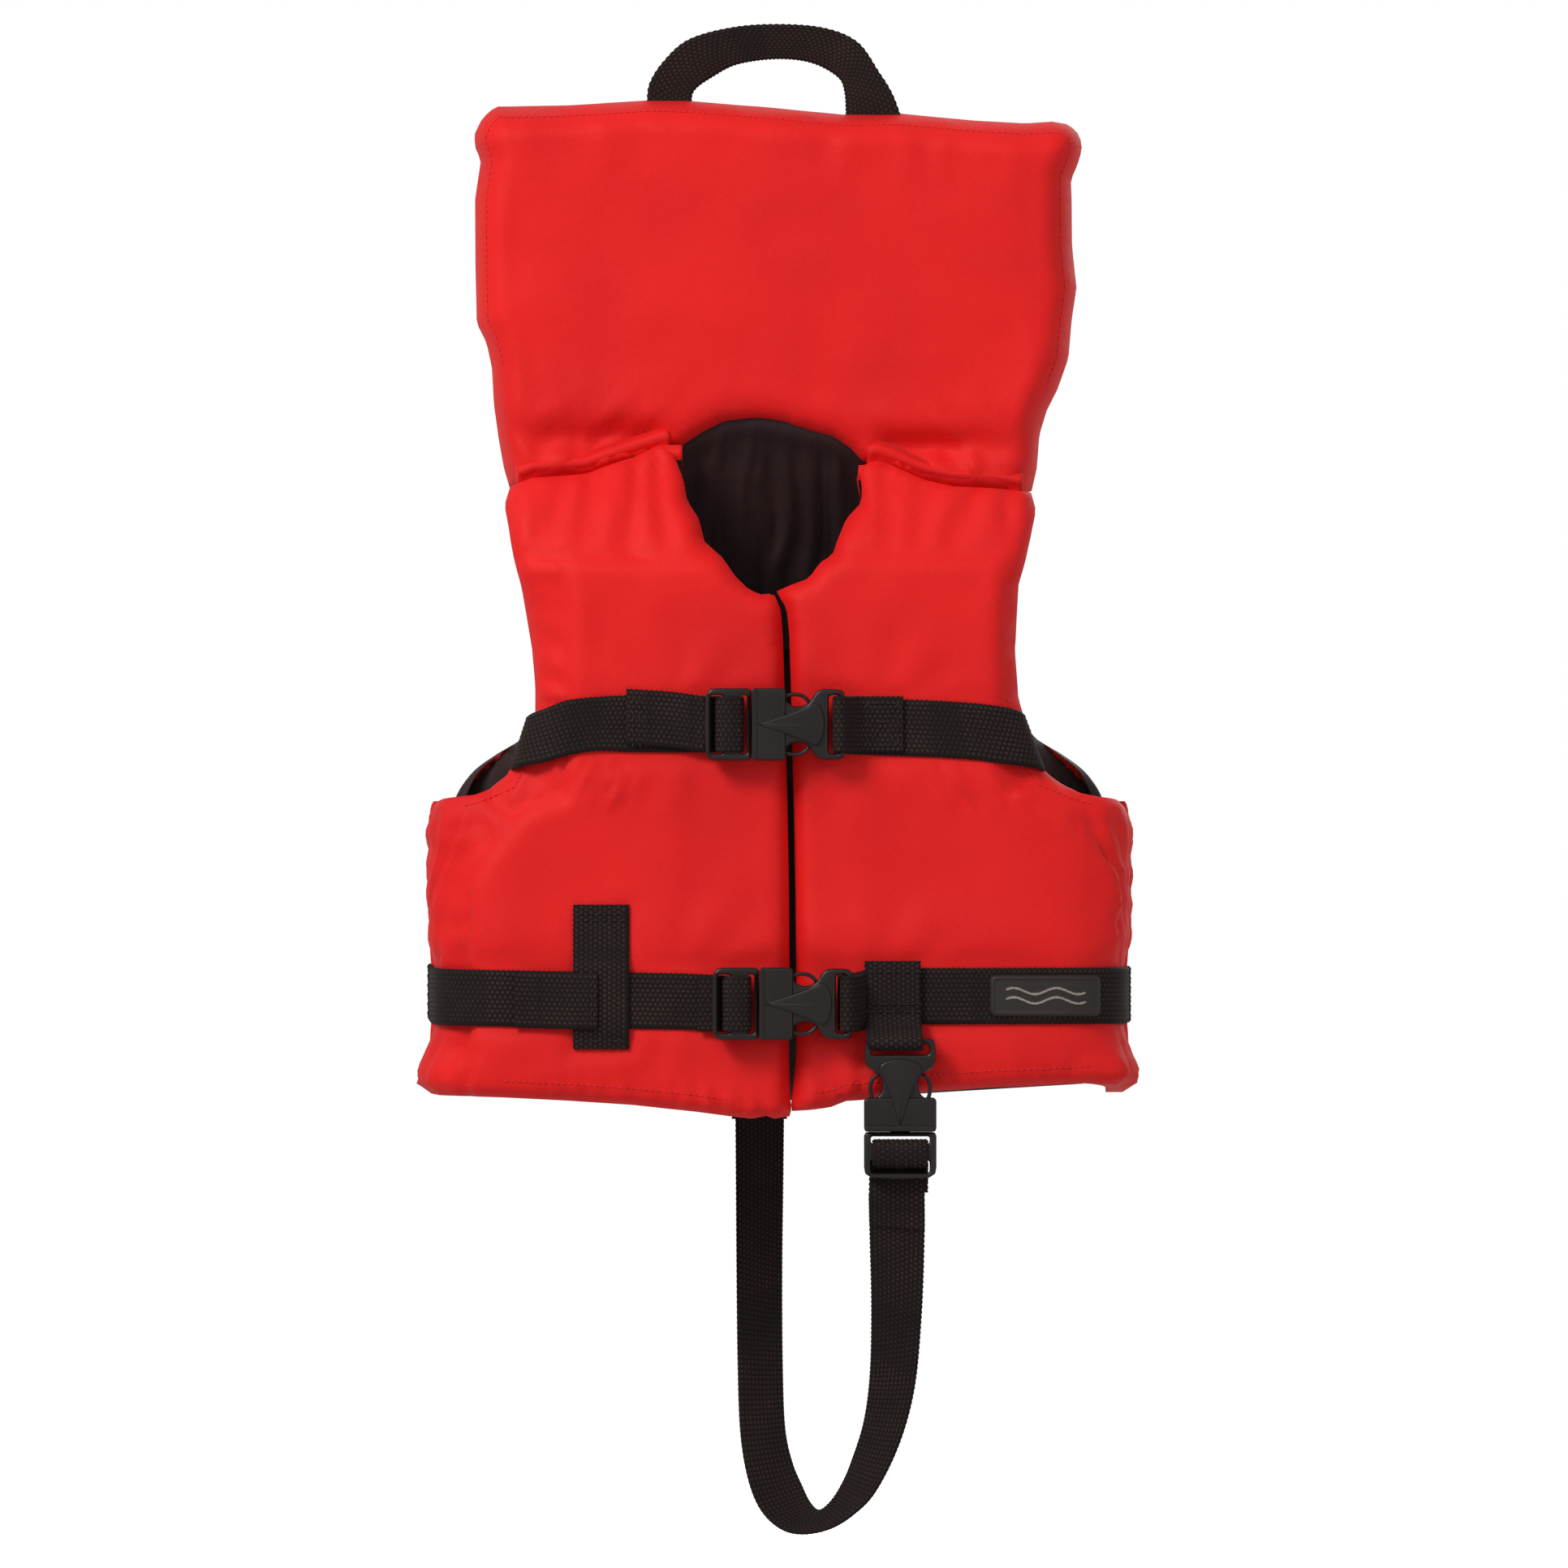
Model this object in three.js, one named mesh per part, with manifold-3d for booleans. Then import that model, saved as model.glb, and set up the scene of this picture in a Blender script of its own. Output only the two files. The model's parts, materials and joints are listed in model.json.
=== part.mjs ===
// Child's vest life jacket, hung by its grab handle.
// Millimetres, +Z up, +X to the viewer's right when facing the front, the front faces -Y.
// Origin: inner top of the grab handle's loop, in the handle's plane.
import * as THREE from 'three';
import { mergeVertices } from 'three/addons/utils/BufferGeometryUtils.js';
import Module from 'manifold-3d';

const wasm = await Module();
wasm.setup();

// ---------- driving dimensions ----------
const WEB = 25.4;             // webbing width (one inch)
const WEB_T = 1.6;            // webbing thickness
const FABRIC = 2.0;           // wall of each sewn cover
const GAP = 0.4;              // clearance between neighbouring pieces
const FRONT_OUT = -66;        // outer face of the front panels
const FRONT_IN = -25;         // inner face of the front panels
const BACK_OUT = 76;          // outer face of the back panel
const BACK_IN = 44.8;         // inner face of the back panel
const COLLAR_HALF = 27;       // half thickness of the head collar
const HEM_Z = -485;           // below the lowest hem
const NECK_Z = -194;          // neck seam, axis of the collar's fold
const HINGE_X = 163.5;        // side seams, axes of the two front panels
const HINGE_Y = 48;
const BUCKLE_Y = -77;         // mid plane of the side-release buckles
const UPPER_Z = -302.4;       // height of the chest buckle
const LOWER_Z = -428.9;       // height of the waist buckle
const UPPER_U = 0;            // shift of the chest buckle along the belt
const LOWER_U = 3.3;          // shift of the waist buckle along the belt
const CROTCH_X = 54.8;        // centre of the crotch buckle
const CROTCH_W = -474.3;      // local zero of the crotch buckle

const HANDLE_OUTER = [[-59.9,-16.6],[-58.5,-10.3],[-52.6,-1.1],[-41.5,8.8],[-23.5,14],[-3.3,15.8],[19.5,14.3],[35.3,7.7],[45.2,-5.9],[51.1,-15.4],[54.0,-23]];
const HANDLE_INNER = [[-40.4,-16.6],[-38.6,-12],[-30.1,-6],[-18.8,-1.6],[-0.7,0],[14.7,-1.8],[26.1,-8.1],[29.4,-14.7],[30.5,-23.2]];
const COLLAR = [[-127.9,-23.2],[-95.6,-21],[-58.8,-18.4],[-39.7,-19.1],[-3.7,-22.1],[29.4,-25.7],[55.1,-24.6],[88.2,-27.9],[125,-30.1],[134.2,-34.9],[137.1,-42.3],[134.9,-49.6],[133.1,-84.6],[135.3,-106.6],[131.6,-121.3],[131.2,-139.7],[123.9,-154.4],[118,-171.3],[116.9,-187.5],[113.6,-195.5],[96,-193.8],[78.7,-192.6],[65.1,-189.7],[47.4,-180.9],[37.5,-181.4],[24.6,-171.7],[0,-165.1],[-10.7,-163.6],[-24.6,-165.1],[-34.2,-168.8],[-44.5,-173],[-52.2,-173.9],[-65.8,-180.2],[-78.3,-184.6],[-87.9,-188],[-101.1,-189],[-112.1,-190],[-121.3,-193.2],[-124.6,-185.7],[-129.4,-158.1],[-130.5,-139.7],[-133.5,-127.9],[-137.9,-121.3],[-137.9,-51.5],[-137.5,-42.3],[-136,-33.1]];
const COLLAR_FOAM = [[-120,-33],[-58,-29],[0,-32],[60,-36],[118,-41],[126,-50],[124,-100],[122,-135],[114,-158],[108,-170],[60,-171],[25,-161],[-10,-154.5],[-36,-160],[-60,-170],[-112,-171],[-120,-150],[-124,-125],[-129,-110],[-129,-50]];
const LEFT_FRONT = [[-121.3,-194.4],[-125.4,-202.6],[-121,-223.9],[-117.3,-239],[-114.7,-253.7],[-112.1,-268.4],[-110.3,-290.4],[-113.2,-298.5],[-117.6,-316.2],[-125,-327.2],[-136,-333.8],[-150.7,-334.2],[-154.4,-336.8],[-157,-343],[-157.7,-351.5],[-158.1,-382],[-157,-398.2],[-156.2,-435],[-161.4,-443.5],[-164.3,-459.6],[-162.9,-469.1],[-150.7,-470.6],[-95.6,-472.8],[-37.5,-477.9],[-11,-480.9],[2.9,-479.4],[2.6,-415.4],[2.2,-341.9],[0.7,-286.8],[-0.7,-261],[-3.3,-244.5],[-10.3,-243.7],[-19.9,-235.3],[-25.4,-227.2],[-33.8,-221],[-36,-209.6],[-41.5,-201.1],[-43,-191.5],[-47.1,-181.5],[-52.2,-175.8],[-65.8,-181.9],[-78.3,-186.3],[-87.9,-189.7],[-112.1,-191.9]];
const RIGHT_FRONT = [[112.1,-197.2],[116.5,-205.5],[111.8,-227.2],[108.5,-239],[107,-268.4],[108.5,-290.4],[110.7,-297.8],[115.8,-316.2],[122.1,-323.5],[132.4,-330.1],[145.2,-333.5],[152.9,-337.1],[157.4,-345.6],[158.5,-358.1],[158.1,-378.7],[157.4,-436],[161.4,-443.5],[164.3,-458.8],[161.8,-464],[155.5,-466.2],[140.8,-464.7],[95.6,-466.9],[68.4,-468.4],[39.3,-472.4],[23.5,-475.7],[12.1,-477.6],[5.9,-478.3],[5.9,-415.4],[5.5,-341.9],[4,-286.8],[2.6,-261],[0.8,-244.5],[4.8,-239.7],[13.6,-236.4],[18.4,-229.4],[24.3,-225.7],[26.8,-218.4],[30.1,-209.6],[37.1,-202.6],[37.9,-198.5],[36.8,-187],[39,-184.3],[47.4,-183.2],[65.1,-192],[78.7,-195],[96,-196.1]];
const LEFT_FOAM = [[-95.6,-227.9],[-31,-227.9],[-11,-249],[-5,-268.4],[-4,-341.9],[-3.5,-474],[-36.8,-472],[-140.8,-464],[-141.5,-373.2],[-117.6,-341.9],[-97.4,-336.4]];
const RIGHT_FOAM = [[34,-225.7],[102.2,-225],[103.7,-290.4],[104.8,-321.7],[116.9,-336.4],[131.6,-343.4],[141.6,-354.8],[149.5,-369.5],[150,-460.5],[66.2,-462.5],[11,-472],[11,-341.9],[9.5,-268.4],[12,-248.2],[29.4,-231]];
const BACK = [[-122,-200],[-60,-198.6],[60,-198.6],[120,-200],[117,-228],[110,-262],[110,-292],[116,-314],[126,-325],[142,-332],[152,-340],[156,-352],[156,-466],[150,-478],[60,-481],[-60,-481],[-150,-478],[-156,-466],[-156,-352],[-152,-340],[-142,-332],[-126,-325],[-116,-314],[-111,-292],[-111,-262],[-119,-228]];
const BACK_FOAM = [[-98,-224],[98,-224],[100,-318],[116,-338],[140,-348],[144,-358],[144,-466],[60,-473],[-60,-473],[-144,-466],[-144,-358],[-140,-348],[-116,-338],[-100,-318]];
const FRONT_PLAN = [[-164.6,-20],[-164.2,-46],[-158,-58],[-146,-63.5],[-128,FRONT_OUT],[128,FRONT_OUT],[146,-63.5],[158,-58],[164.2,-46],[164.6,-20]];
const FRONT_PROFILE = [[-54,-160],[-57,-196],[-62,-215],[FRONT_OUT,-240],[FRONT_OUT,-440],[-64.5,HEM_Z]];
const BACK_OUT_LINE = [[44,-196],[46,-205],[64,-240],[73.5,-275],[BACK_OUT,-305],[BACK_OUT,HEM_Z]];
const BACK_IN_LINE = [[20,-196],[21,-205],[34,-240],[42,-275],[BACK_IN,-305],[BACK_IN,HEM_Z]];

// ---------- geometry helpers ----------
const shapeOf = pts => new THREE.Shape(pts.map(p => new THREE.Vector2(p[0], p[1])));
function solid(geometry) {
  geometry.deleteAttribute('normal');
  geometry.deleteAttribute('uv');
  const g = mergeVertices(geometry, 1e-4);
  return new wasm.Manifold(new wasm.Mesh({ numProp: 3, vertProperties: new Float32Array(g.attributes.position.array), triVerts: new Uint32Array(g.index.array) }));
}
function geometryOf(m) {
  const r = m.getMesh();
  const g = new THREE.BufferGeometry();
  const n = r.numProp, v = new Float32Array(r.vertProperties.length / n * 3);
  for (let i = 0; i < v.length / 3; i++) for (let k = 0; k < 3; k++) v[3 * i + k] = r.vertProperties[n * i + k];
  g.setAttribute('position', new THREE.BufferAttribute(v, 3));
  g.setIndex(new THREE.BufferAttribute(new Uint32Array(r.triVerts), 1));
  g.computeVertexNormals();
  return g;
}
const extrude = (pts, depth) => new THREE.ExtrudeGeometry(shapeOf(pts), { depth, bevelEnabled: false, steps: 1, curveSegments: 4 });
// outline in X and Z, pulled along Y
function alongY(pts, y0, y1) { const g = extrude(pts, y1 - y0); g.rotateX(Math.PI / 2); g.translate(0, y1, 0); return g; }
// profile in Y and Z, pulled along X
function alongX(pts, x0, x1) { const g = extrude(pts, x1 - x0); g.applyMatrix4(new THREE.Matrix4().set(0, 0, 1, x0, 1, 0, 0, 0, 0, 1, 0, 0, 0, 0, 0, 1)); return g; }
// plan in X and Y, pulled along Z
function alongZ(pts, z0, z1) { const g = extrude(pts, z1 - z0); g.translate(0, 0, z0); return g; }
const area = p => p.reduce((s, a, i) => { const b = p[(i + 1) % p.length]; return s + a[0] * b[1] - b[0] * a[1]; }, 0) / 2;
function inset(pts, d) {
  const p = area(pts) < 0 ? pts.slice().reverse() : pts.slice(), n = p.length, out = [];
  for (let i = 0; i < n; i++) {
    const a = p[(i + n - 1) % n], b = p[i], c = p[(i + 1) % n];
    const u = [b[0] - a[0], b[1] - a[1]], v = [c[0] - b[0], c[1] - b[1]], lu = Math.hypot(...u), lv = Math.hypot(...v);
    const nu = [-u[1] / lu, u[0] / lu], nv = [-v[1] / lv, v[0] / lv];
    const k = Math.max(0.35, 1 + nu[0] * nv[0] + nu[1] * nv[1]);
    out.push([b[0] + d * (nu[0] + nv[0]) / k, b[1] + d * (nu[1] + nv[1]) / k]);
  }
  return out;
}
const shiftY = (line, d) => line.map(p => [p[0] + d, p[1]]);
const band = (outer, inner) => outer.concat(inner.slice().reverse());
const cut = (...g) => g.map(solid).reduce((a, b) => a.intersect(b));
// flat strap between two edge curves
function strap(edgeA, edgeB, t = WEB_T) {
  const n = edgeA.length, pos = [], idx = [];
  for (let i = 0; i < n; i++) {
    const a = new THREE.Vector3(...edgeA[i]), b = new THREE.Vector3(...edgeB[i]);
    const j = Math.max(0, i - 1), k = Math.min(n - 1, i + 1);
    const along = new THREE.Vector3(...edgeA[k]).add(new THREE.Vector3(...edgeB[k])).sub(new THREE.Vector3(...edgeA[j])).sub(new THREE.Vector3(...edgeB[j]));
    const nn = along.cross(a.clone().sub(b)).normalize().multiplyScalar(t / 2);
    for (const q of [a.clone().add(nn), b.clone().add(nn), b.clone().sub(nn), a.clone().sub(nn)]) pos.push(q.x, q.y, q.z);
  }
  for (let i = 0; i < n - 1; i++) for (let k = 0; k < 4; k++) {
    const a = 4 * i + k, b = 4 * i + (k + 1) % 4, c = a + 4, d = b + 4;
    idx.push(a, b, d, a, d, c);
  }
  idx.push(0, 2, 1, 0, 3, 2, 4 * n - 4, 4 * n - 3, 4 * n - 2, 4 * n - 4, 4 * n - 2, 4 * n - 1);
  const g = new THREE.BufferGeometry();
  g.setAttribute('position', new THREE.BufferAttribute(new Float32Array(pos), 3));
  let vol = 0;
  for (let i = 0; i < idx.length; i += 3) {
    const [a, b, c] = [0, 1, 2].map(k => new THREE.Vector3(pos[3 * idx[i + k]], pos[3 * idx[i + k] + 1], pos[3 * idx[i + k] + 2]));
    vol += a.dot(b.cross(c));
  }
  if (vol < 0) for (let i = 0; i < idx.length; i += 3) [idx[i + 1], idx[i + 2]] = [idx[i + 2], idx[i + 1]];
  g.setIndex(idx);
  g.computeVertexNormals();
  return g;
}
const belt = (path, z, w = WEB, t = WEB_T) => strap(path.map(p => [p[0], p[1], (p[2] ?? z) + w / 2]), path.map(p => [p[0], p[1], (p[2] ?? z) - w / 2]), t);
const block = (x0, x1, y0, y1, z0, z1) => { const g = new THREE.BoxGeometry(x1 - x0, y1 - y0, z1 - z0); g.translate((x0 + x1) / 2, (y0 + y1) / 2, (z0 + z1) / 2); return g; };

// ---------- materials ----------
const mat = (hex, roughness, metalness = 0) => new THREE.MeshStandardMaterial({ color: hex, roughness, metalness });
const NYLON = 0xd62428, LINING = 0x1c1617, WEBBING = 0x241d1b, PLASTIC = 0x2d2927, FOAM = 0xe6e3da, PATCH = 0x2b2624;

const group = new THREE.Group();
function add(name, geometry, colour, rough) {
  const m = new THREE.Mesh(geometry, mat(colour, rough));
  m.name = name;
  group.add(m);
  return m;
}

// ---------- grab handle ----------
add('grab_handle', alongY(HANDLE_OUTER.concat(HANDLE_INNER.slice().reverse()), -1.2, 1.2), WEBBING, 0.85);

// ---------- head collar: two covers around two foam layers ----------
const C = COLLAR_HALF;
const collarProfile = d => [[-(C - d), -52], [-(C - d) + 6, -34], [-10 + d * 0.5, -19.5 - d], [0, -16 - d], [10 - d * 0.5, -19.5 - d], [C - d - 6, -34], [C - d, -52], [C - d, -160], [C - d - 3, -168], [9 - d, -200], [-9 + d, -200], [-(C - d - 3), -168], [-(C - d), -160]];
const collarBody = cut(alongY(COLLAR, -40, 40), alongX(collarProfile(0), -150, 150));
const collarHollow = cut(alongY(inset(COLLAR, 4.5), -40, 40), alongX(collarProfile(FABRIC), -150, 150));
const collarSkin = collarBody.subtract(collarHollow);
add('collar_front_cover', geometryOf(collarSkin.intersect(solid(block(-200, 200, -60, -GAP / 2, -300, 20)))), NYLON, 0.5);
add('collar_back_cover', geometryOf(collarSkin.intersect(solid(block(-200, 200, GAP / 2, 60, -300, 20)))), NYLON, 0.5);
const collarFoam = cut(alongY(COLLAR_FOAM, -40, 40), alongX(collarProfile(FABRIC + 1), -150, 150), block(-200, 200, -60, 60, -173, -20));
add('collar_foam_front', geometryOf(collarFoam.intersect(solid(block(-200, 200, -60, -GAP, -300, 20)))), FOAM, 0.9);
add('collar_foam_back', geometryOf(collarFoam.intersect(solid(block(-200, 200, GAP, 60, -300, 20)))), FOAM, 0.9);

// ---------- back panel ----------
const BACK_PLAN = d => [[-157 + d, 40 - 30], [-157 + d, 58], [-151 + d, 68 - d / 2], [-138, BACK_OUT + 0.5 - d], [138, BACK_OUT + 0.5 - d], [151 - d, 68 - d / 2], [157 - d, 58], [157 - d, 10]];
const backOuter = cut(alongY(BACK, 0, 100), alongX(band(BACK_OUT_LINE, BACK_IN_LINE), -200, 200), alongZ(BACK_PLAN(0), -500, -100));
const backHollow = cut(alongY(inset(BACK, FABRIC), 0, 100), alongX(band(shiftY(BACK_OUT_LINE, -FABRIC), shiftY(BACK_IN_LINE, -10)), -200, 200), alongZ(BACK_PLAN(FABRIC), -500, -100));
add('back_shell', geometryOf(backOuter.subtract(backHollow)), NYLON, 0.5);
const backLayer = (outline, from, a, to, b, d) => cut(alongY(outline, 0, 100), alongX(band(shiftY(to, b), shiftY(from, a)), -200, 200), alongZ(BACK_PLAN(d), -500, -100));
add('back_lining', geometryOf(backLayer(inset(BACK, FABRIC + GAP), BACK_IN_LINE, 0.4, BACK_IN_LINE, 1.6, 2.5)), LINING, 0.7);
add('back_foam_inner', geometryOf(backLayer(BACK_FOAM, BACK_IN_LINE, 2.1, BACK_IN_LINE, 12, 6)), FOAM, 0.9);
add('back_foam_outer', geometryOf(backLayer(BACK_FOAM, BACK_IN_LINE, 12.5, BACK_OUT_LINE, -2.6, 6)), FOAM, 0.9);
const NECK_LINING = [[-14, -186.5], [-12, -185.5], [0, -197], [16, -215], [24, -232], [33, -262], [31.5, -263], [22, -233], [14, -216.5], [-2, -198.5]];
add('neck_lining', alongX(NECK_LINING, -41, 33), LINING, 0.7);
add('neck_band', alongX([[21.5, -198.2], [41, -198.2], [27, -186], [30.5, -168], [29, -168], [24.6, -186], [21, -196.6]], -112, 108), NYLON, 0.5);
const YOKE = [[-24.4, -205], [-22, -199], [-12, -197.4], [12, -197.4], [15.2, -198.9], [15.2, -202], [10, -203], [-10, -203], [-18, -206], [-21, -214], [-24.4, -214]];
add('shoulder_left', alongX(YOKE, -116, -55), NYLON, 0.5);
add('shoulder_right', alongX(YOKE, 50, 110), NYLON, 0.5);

// ---------- front panels ----------
const frontProfile = (d, y1) => [[y1, -150]].concat(shiftY(FRONT_PROFILE, d)).concat([[y1, HEM_Z]]);
const frontPlan = d => [[-164.8 + d, 0], [-164.4 + d, -46 + d / 2], [-158 + d, -58 + d], [-146, -63.5 + d], [-128, FRONT_OUT + d], [128, FRONT_OUT + d], [146, -63.5 + d], [158 - d, -58 + d], [164.4 - d, -46 + d / 2], [164.8 - d, 0]];
const frontBody = (outline, d, y1) => cut(alongY(outline, -90, y1), alongX(frontProfile(d, y1), -200, 200), alongZ(frontPlan(d), -500, -100));
for (const [side, outline, foam] of [['left', LEFT_FRONT, LEFT_FOAM], ['right', RIGHT_FRONT, RIGHT_FOAM]]) {
  const shell = frontBody(outline, 0, FRONT_IN).subtract(frontBody(inset(outline, FABRIC), FABRIC, FRONT_IN + 6));
  add(`${side}_front_shell`, geometryOf(shell), NYLON, 0.5);
  add(`${side}_front_lining`, geometryOf(cut(alongY(inset(outline, FABRIC + GAP), FRONT_IN - 1.8, FRONT_IN - 0.6), alongZ(frontPlan(2.5), -500, -100))), LINING, 0.7);
  const middle = (FRONT_OUT + FRONT_IN) / 2;
  const core = frontBody(foam, FABRIC + 0.6, FRONT_IN - 2.3);
  add(`${side}_foam_outer`, geometryOf(core.intersect(solid(block(-200, 200, -90, middle, -500, -100)))), FOAM, 0.9);
  add(`${side}_foam_inner`, geometryOf(core.intersect(solid(block(-200, 200, middle + GAP, 0, -500, -100)))), FOAM, 0.9);
  const s = side === 'left' ? -1 : 1;
  add(`${side}_side_panel`, alongZ([[155, -24.6], [157.6, -24.6], [160.4, 10], [159.6, 46], [156.6, 46], [157.4, 10]].map(p => [s * p[0], p[1]]), -466, -338), NYLON, 0.5);
}

// ---------- belts ----------
const Y1 = FRONT_OUT - GAP - WEB_T / 2;         // webbing lying on a panel
const Y2 = Y1 - WEB_T - GAP;                    // second layer
const Y3 = Y2 - WEB_T - GAP;                    // third layer
const SIDE_PATH = [[128, Y1], [146.6, -64.8], [159, -59], [165.9, -46.8], [161.6, -22], [161.8, 10], [161.2, 44]];
add('upper_belt_left', belt([[-108, Y1, UPPER_Z - 3.6], [-90, Y1, UPPER_Z - 1.6], [-60, Y1], [-30, Y1]], UPPER_Z), WEBBING, 0.85);
add('upper_belt_tail', belt([[-69, Y2], [-30, Y2]], UPPER_Z + 1), WEBBING, 0.85);
add('upper_belt_right', belt([[22, Y1], [60, Y1], [96, Y1, UPPER_Z - 0.8], [105, Y1, UPPER_Z - 2]], UPPER_Z), WEBBING, 0.85);
add('upper_belt_fold', belt([[21, Y2], [56.2, Y2]], UPPER_Z), WEBBING, 0.85);
const lowLeft = SIDE_PATH.map(p => [-p[0], p[1], LOWER_Z + 4.6]).reverse().concat([[-110, Y1, LOWER_Z + 4], [-28, Y1, LOWER_Z]]);
add('lower_belt_left', belt(lowLeft, LOWER_Z), WEBBING, 0.85);
add('lower_belt_tail', belt([[-119.9, Y3 - 0.2], [-82, Y3 - 0.2]], LOWER_Z + 1.4), WEBBING, 0.85);
const lowRight = [[26, Y1, LOWER_Z + 1], [90, Y1, LOWER_Z + 2.6]].concat(SIDE_PATH.map(p => [p[0], p[1], LOWER_Z + 3.8]));
add('lower_belt_right', belt(lowRight, LOWER_Z), WEBBING, 0.85);
const backPath = [[-162.6, 52], [-160.4, 62], [-153.6, 70.8], [-139, 77.6], [139, 77.6], [153.6, 70.8], [160.4, 62], [162.6, 52]];
add('lower_belt_back', belt(backPath, LOWER_Z + 4), WEBBING, 0.85);
for (const s of [-1, 1]) {
  const x = s * 78, y = BACK_OUT + GAP + WEB_T / 2, z = LOWER_Z + 4;
  add(s < 0 ? 'back_loop_left' : 'back_loop_right', strap([[x - WEB / 2, y, z + 30], [x - WEB / 2, y, z + 18], [x - WEB / 2, y + 2, z + 14.5], [x - WEB / 2, y + 2, z - 14.5], [x - WEB / 2, y, z - 18], [x - WEB / 2, y, z - 30]],
    [[x + WEB / 2, y, z + 30], [x + WEB / 2, y, z + 18], [x + WEB / 2, y + 2, z + 14.5], [x + WEB / 2, y + 2, z - 14.5], [x + WEB / 2, y, z - 18], [x + WEB / 2, y, z - 30]]), WEBBING, 0.85);
}
const tabX = (x, ys, zs) => strap(ys.map((y, i) => [x - WEB / 2, y, zs[i]]), ys.map((y, i) => [x + WEB / 2, y, zs[i]]));
add('keeper_tab', tabX(-80.5, [Y1, Y1, Y2, Y2, Y1 - 0.4, Y1], [-383.8, -402, -406, -443, -446, -449.3]), WEBBING, 0.85);
add('crotch_tab', tabX(52.3, [Y2, Y2], [-410.7, -451]), WEBBING, 0.85);
add('name_patch', block(95.2, 145.2 - 8, Y1 - WEB_T / 2 - GAP - 1.4, Y1 - WEB_T / 2 - GAP, -434.9, -415.8), PATCH, 0.6);

// ---------- side-release buckles ----------
// local frame: u from the adjuster frame to the socket, v across, w through the thickness
const halfV = 16.5, halfW = 5.5;
const uv = (pts, w0, w1) => alongY(pts, w0, w1);
function female() {
  const mouth = solid(block(-12.1, 2.2, -halfW, halfW, -halfV, halfV)).subtract(solid(block(-13, 3, -3.7, 3.7, -15.2, 15.2)));
  const waist = solid(uv([[1.6, 8.4], [8, 7.4], [13, 7.8], [16.4, 9.2], [18.6, 12.6], [20.8, 14.6], [29.8, 14.6], [29.8, -14.6], [20.8, -14.6], [18.6, -12.6], [16.4, -9.2], [13, -7.8], [8, -7.4], [1.6, -8.4]], -halfW, halfW));
  const slot = solid(block(23, 27, -9, 9, -13, 13));
  const prongRoom = solid(block(-13, 3.2, -3.7, 3.7, -5.8, 5.8));
  return geometryOf(mouth.add(waist).subtract(slot).subtract(prongRoom));
}
function male() {
  const frame = solid(block(-33.8, -12.9, -4.2, 4.2, -halfV, halfV));
  const windows = solid(block(-31.6, -25.4, -9, 9, -13.4, 13.4)).add(solid(block(-18.6, -14.6, -9, 9, -13.4, 13.4)));
  const guide = solid(block(-13.4, 0.5, -2.6, 2.6, -4.6, 4.6));
  return geometryOf(frame.subtract(windows).add(guide));
}
function arm(s) {
  return solid(uv([[-12.4, 8.2], [-12.4, 11.2], [0, 13.6], [6, 14.6], [11, 13.6], [14.4, 14.4], [15.2, 13.3], [11.5, 11.3], [6, 12], [0, 11.4], [-8, 8.4]].map(p => [p[0], s * p[1]]), -3.2, 3.2));
}
function wrap() {
  return geometryOf(solid(block(-27.2, -17, -6, 6, -12.7, 12.7)).subtract(solid(block(-25.9, -18.2, -4.5, 4.5, -14, 14))));
}
const buckles = [['upper', [UPPER_U, BUCKLE_Y, UPPER_Z], false], ['lower', [LOWER_U, BUCKLE_Y, LOWER_Z], false], ['crotch', [CROTCH_X, BUCKLE_Y, CROTCH_W], true]];
for (const [name, at, upright] of buckles) {
  const holder = new THREE.Group();
  holder.position.set(...at);
  if (upright) holder.rotation.y = -Math.PI / 2;
  group.add(holder);
  for (const [part, geometry, colour] of [['socket', female(), PLASTIC], ['plug', male(), PLASTIC], ['arm_a', geometryOf(arm(1)), PLASTIC], ['arm_b', geometryOf(arm(-1)), PLASTIC], ['wrap', wrap(), WEBBING]]) {
    const m = new THREE.Mesh(geometry, mat(colour, part === 'wrap' ? 0.85 : 0.45));
    m.name = `${name}_${part}`;
    holder.add(m);
  }
}

// ---------- crotch strap: from the back hem, down, round and up to the crotch buckle ----------
const CROTCH_LINE = [[-8.9, 60, -484], [-9, 52, -515], [-9, 41.5, -555], [-8.6, 30, -595], [-7.6, 23, -625], [-5, 18, -643], [-0.5, 11.5, -656.5], [6, 3.5, -665], [13.7, -3, -668], [22.5, -9, -665.5], [30.5, -13.5, -658], [38, -19.5, -646], [45.7, -28, -625.5], [50.7, -38.5, -600.5], [53.6, -51, -568], [54.6, -63.5, -534], [54.2, -71, -505]];
add('crotch_strap', strap(CROTCH_LINE.map(p => [p[0] - WEB / 2, p[1], p[2]]), CROTCH_LINE.map(p => [p[0] + WEB / 2, p[1], p[2]])), WEBBING, 0.85);
add('crotch_anchor', block(-23, 5, BACK_OUT - 16, BACK_OUT - 14, -483.5, -481.5), WEBBING, 0.85);

export default group;
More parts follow.
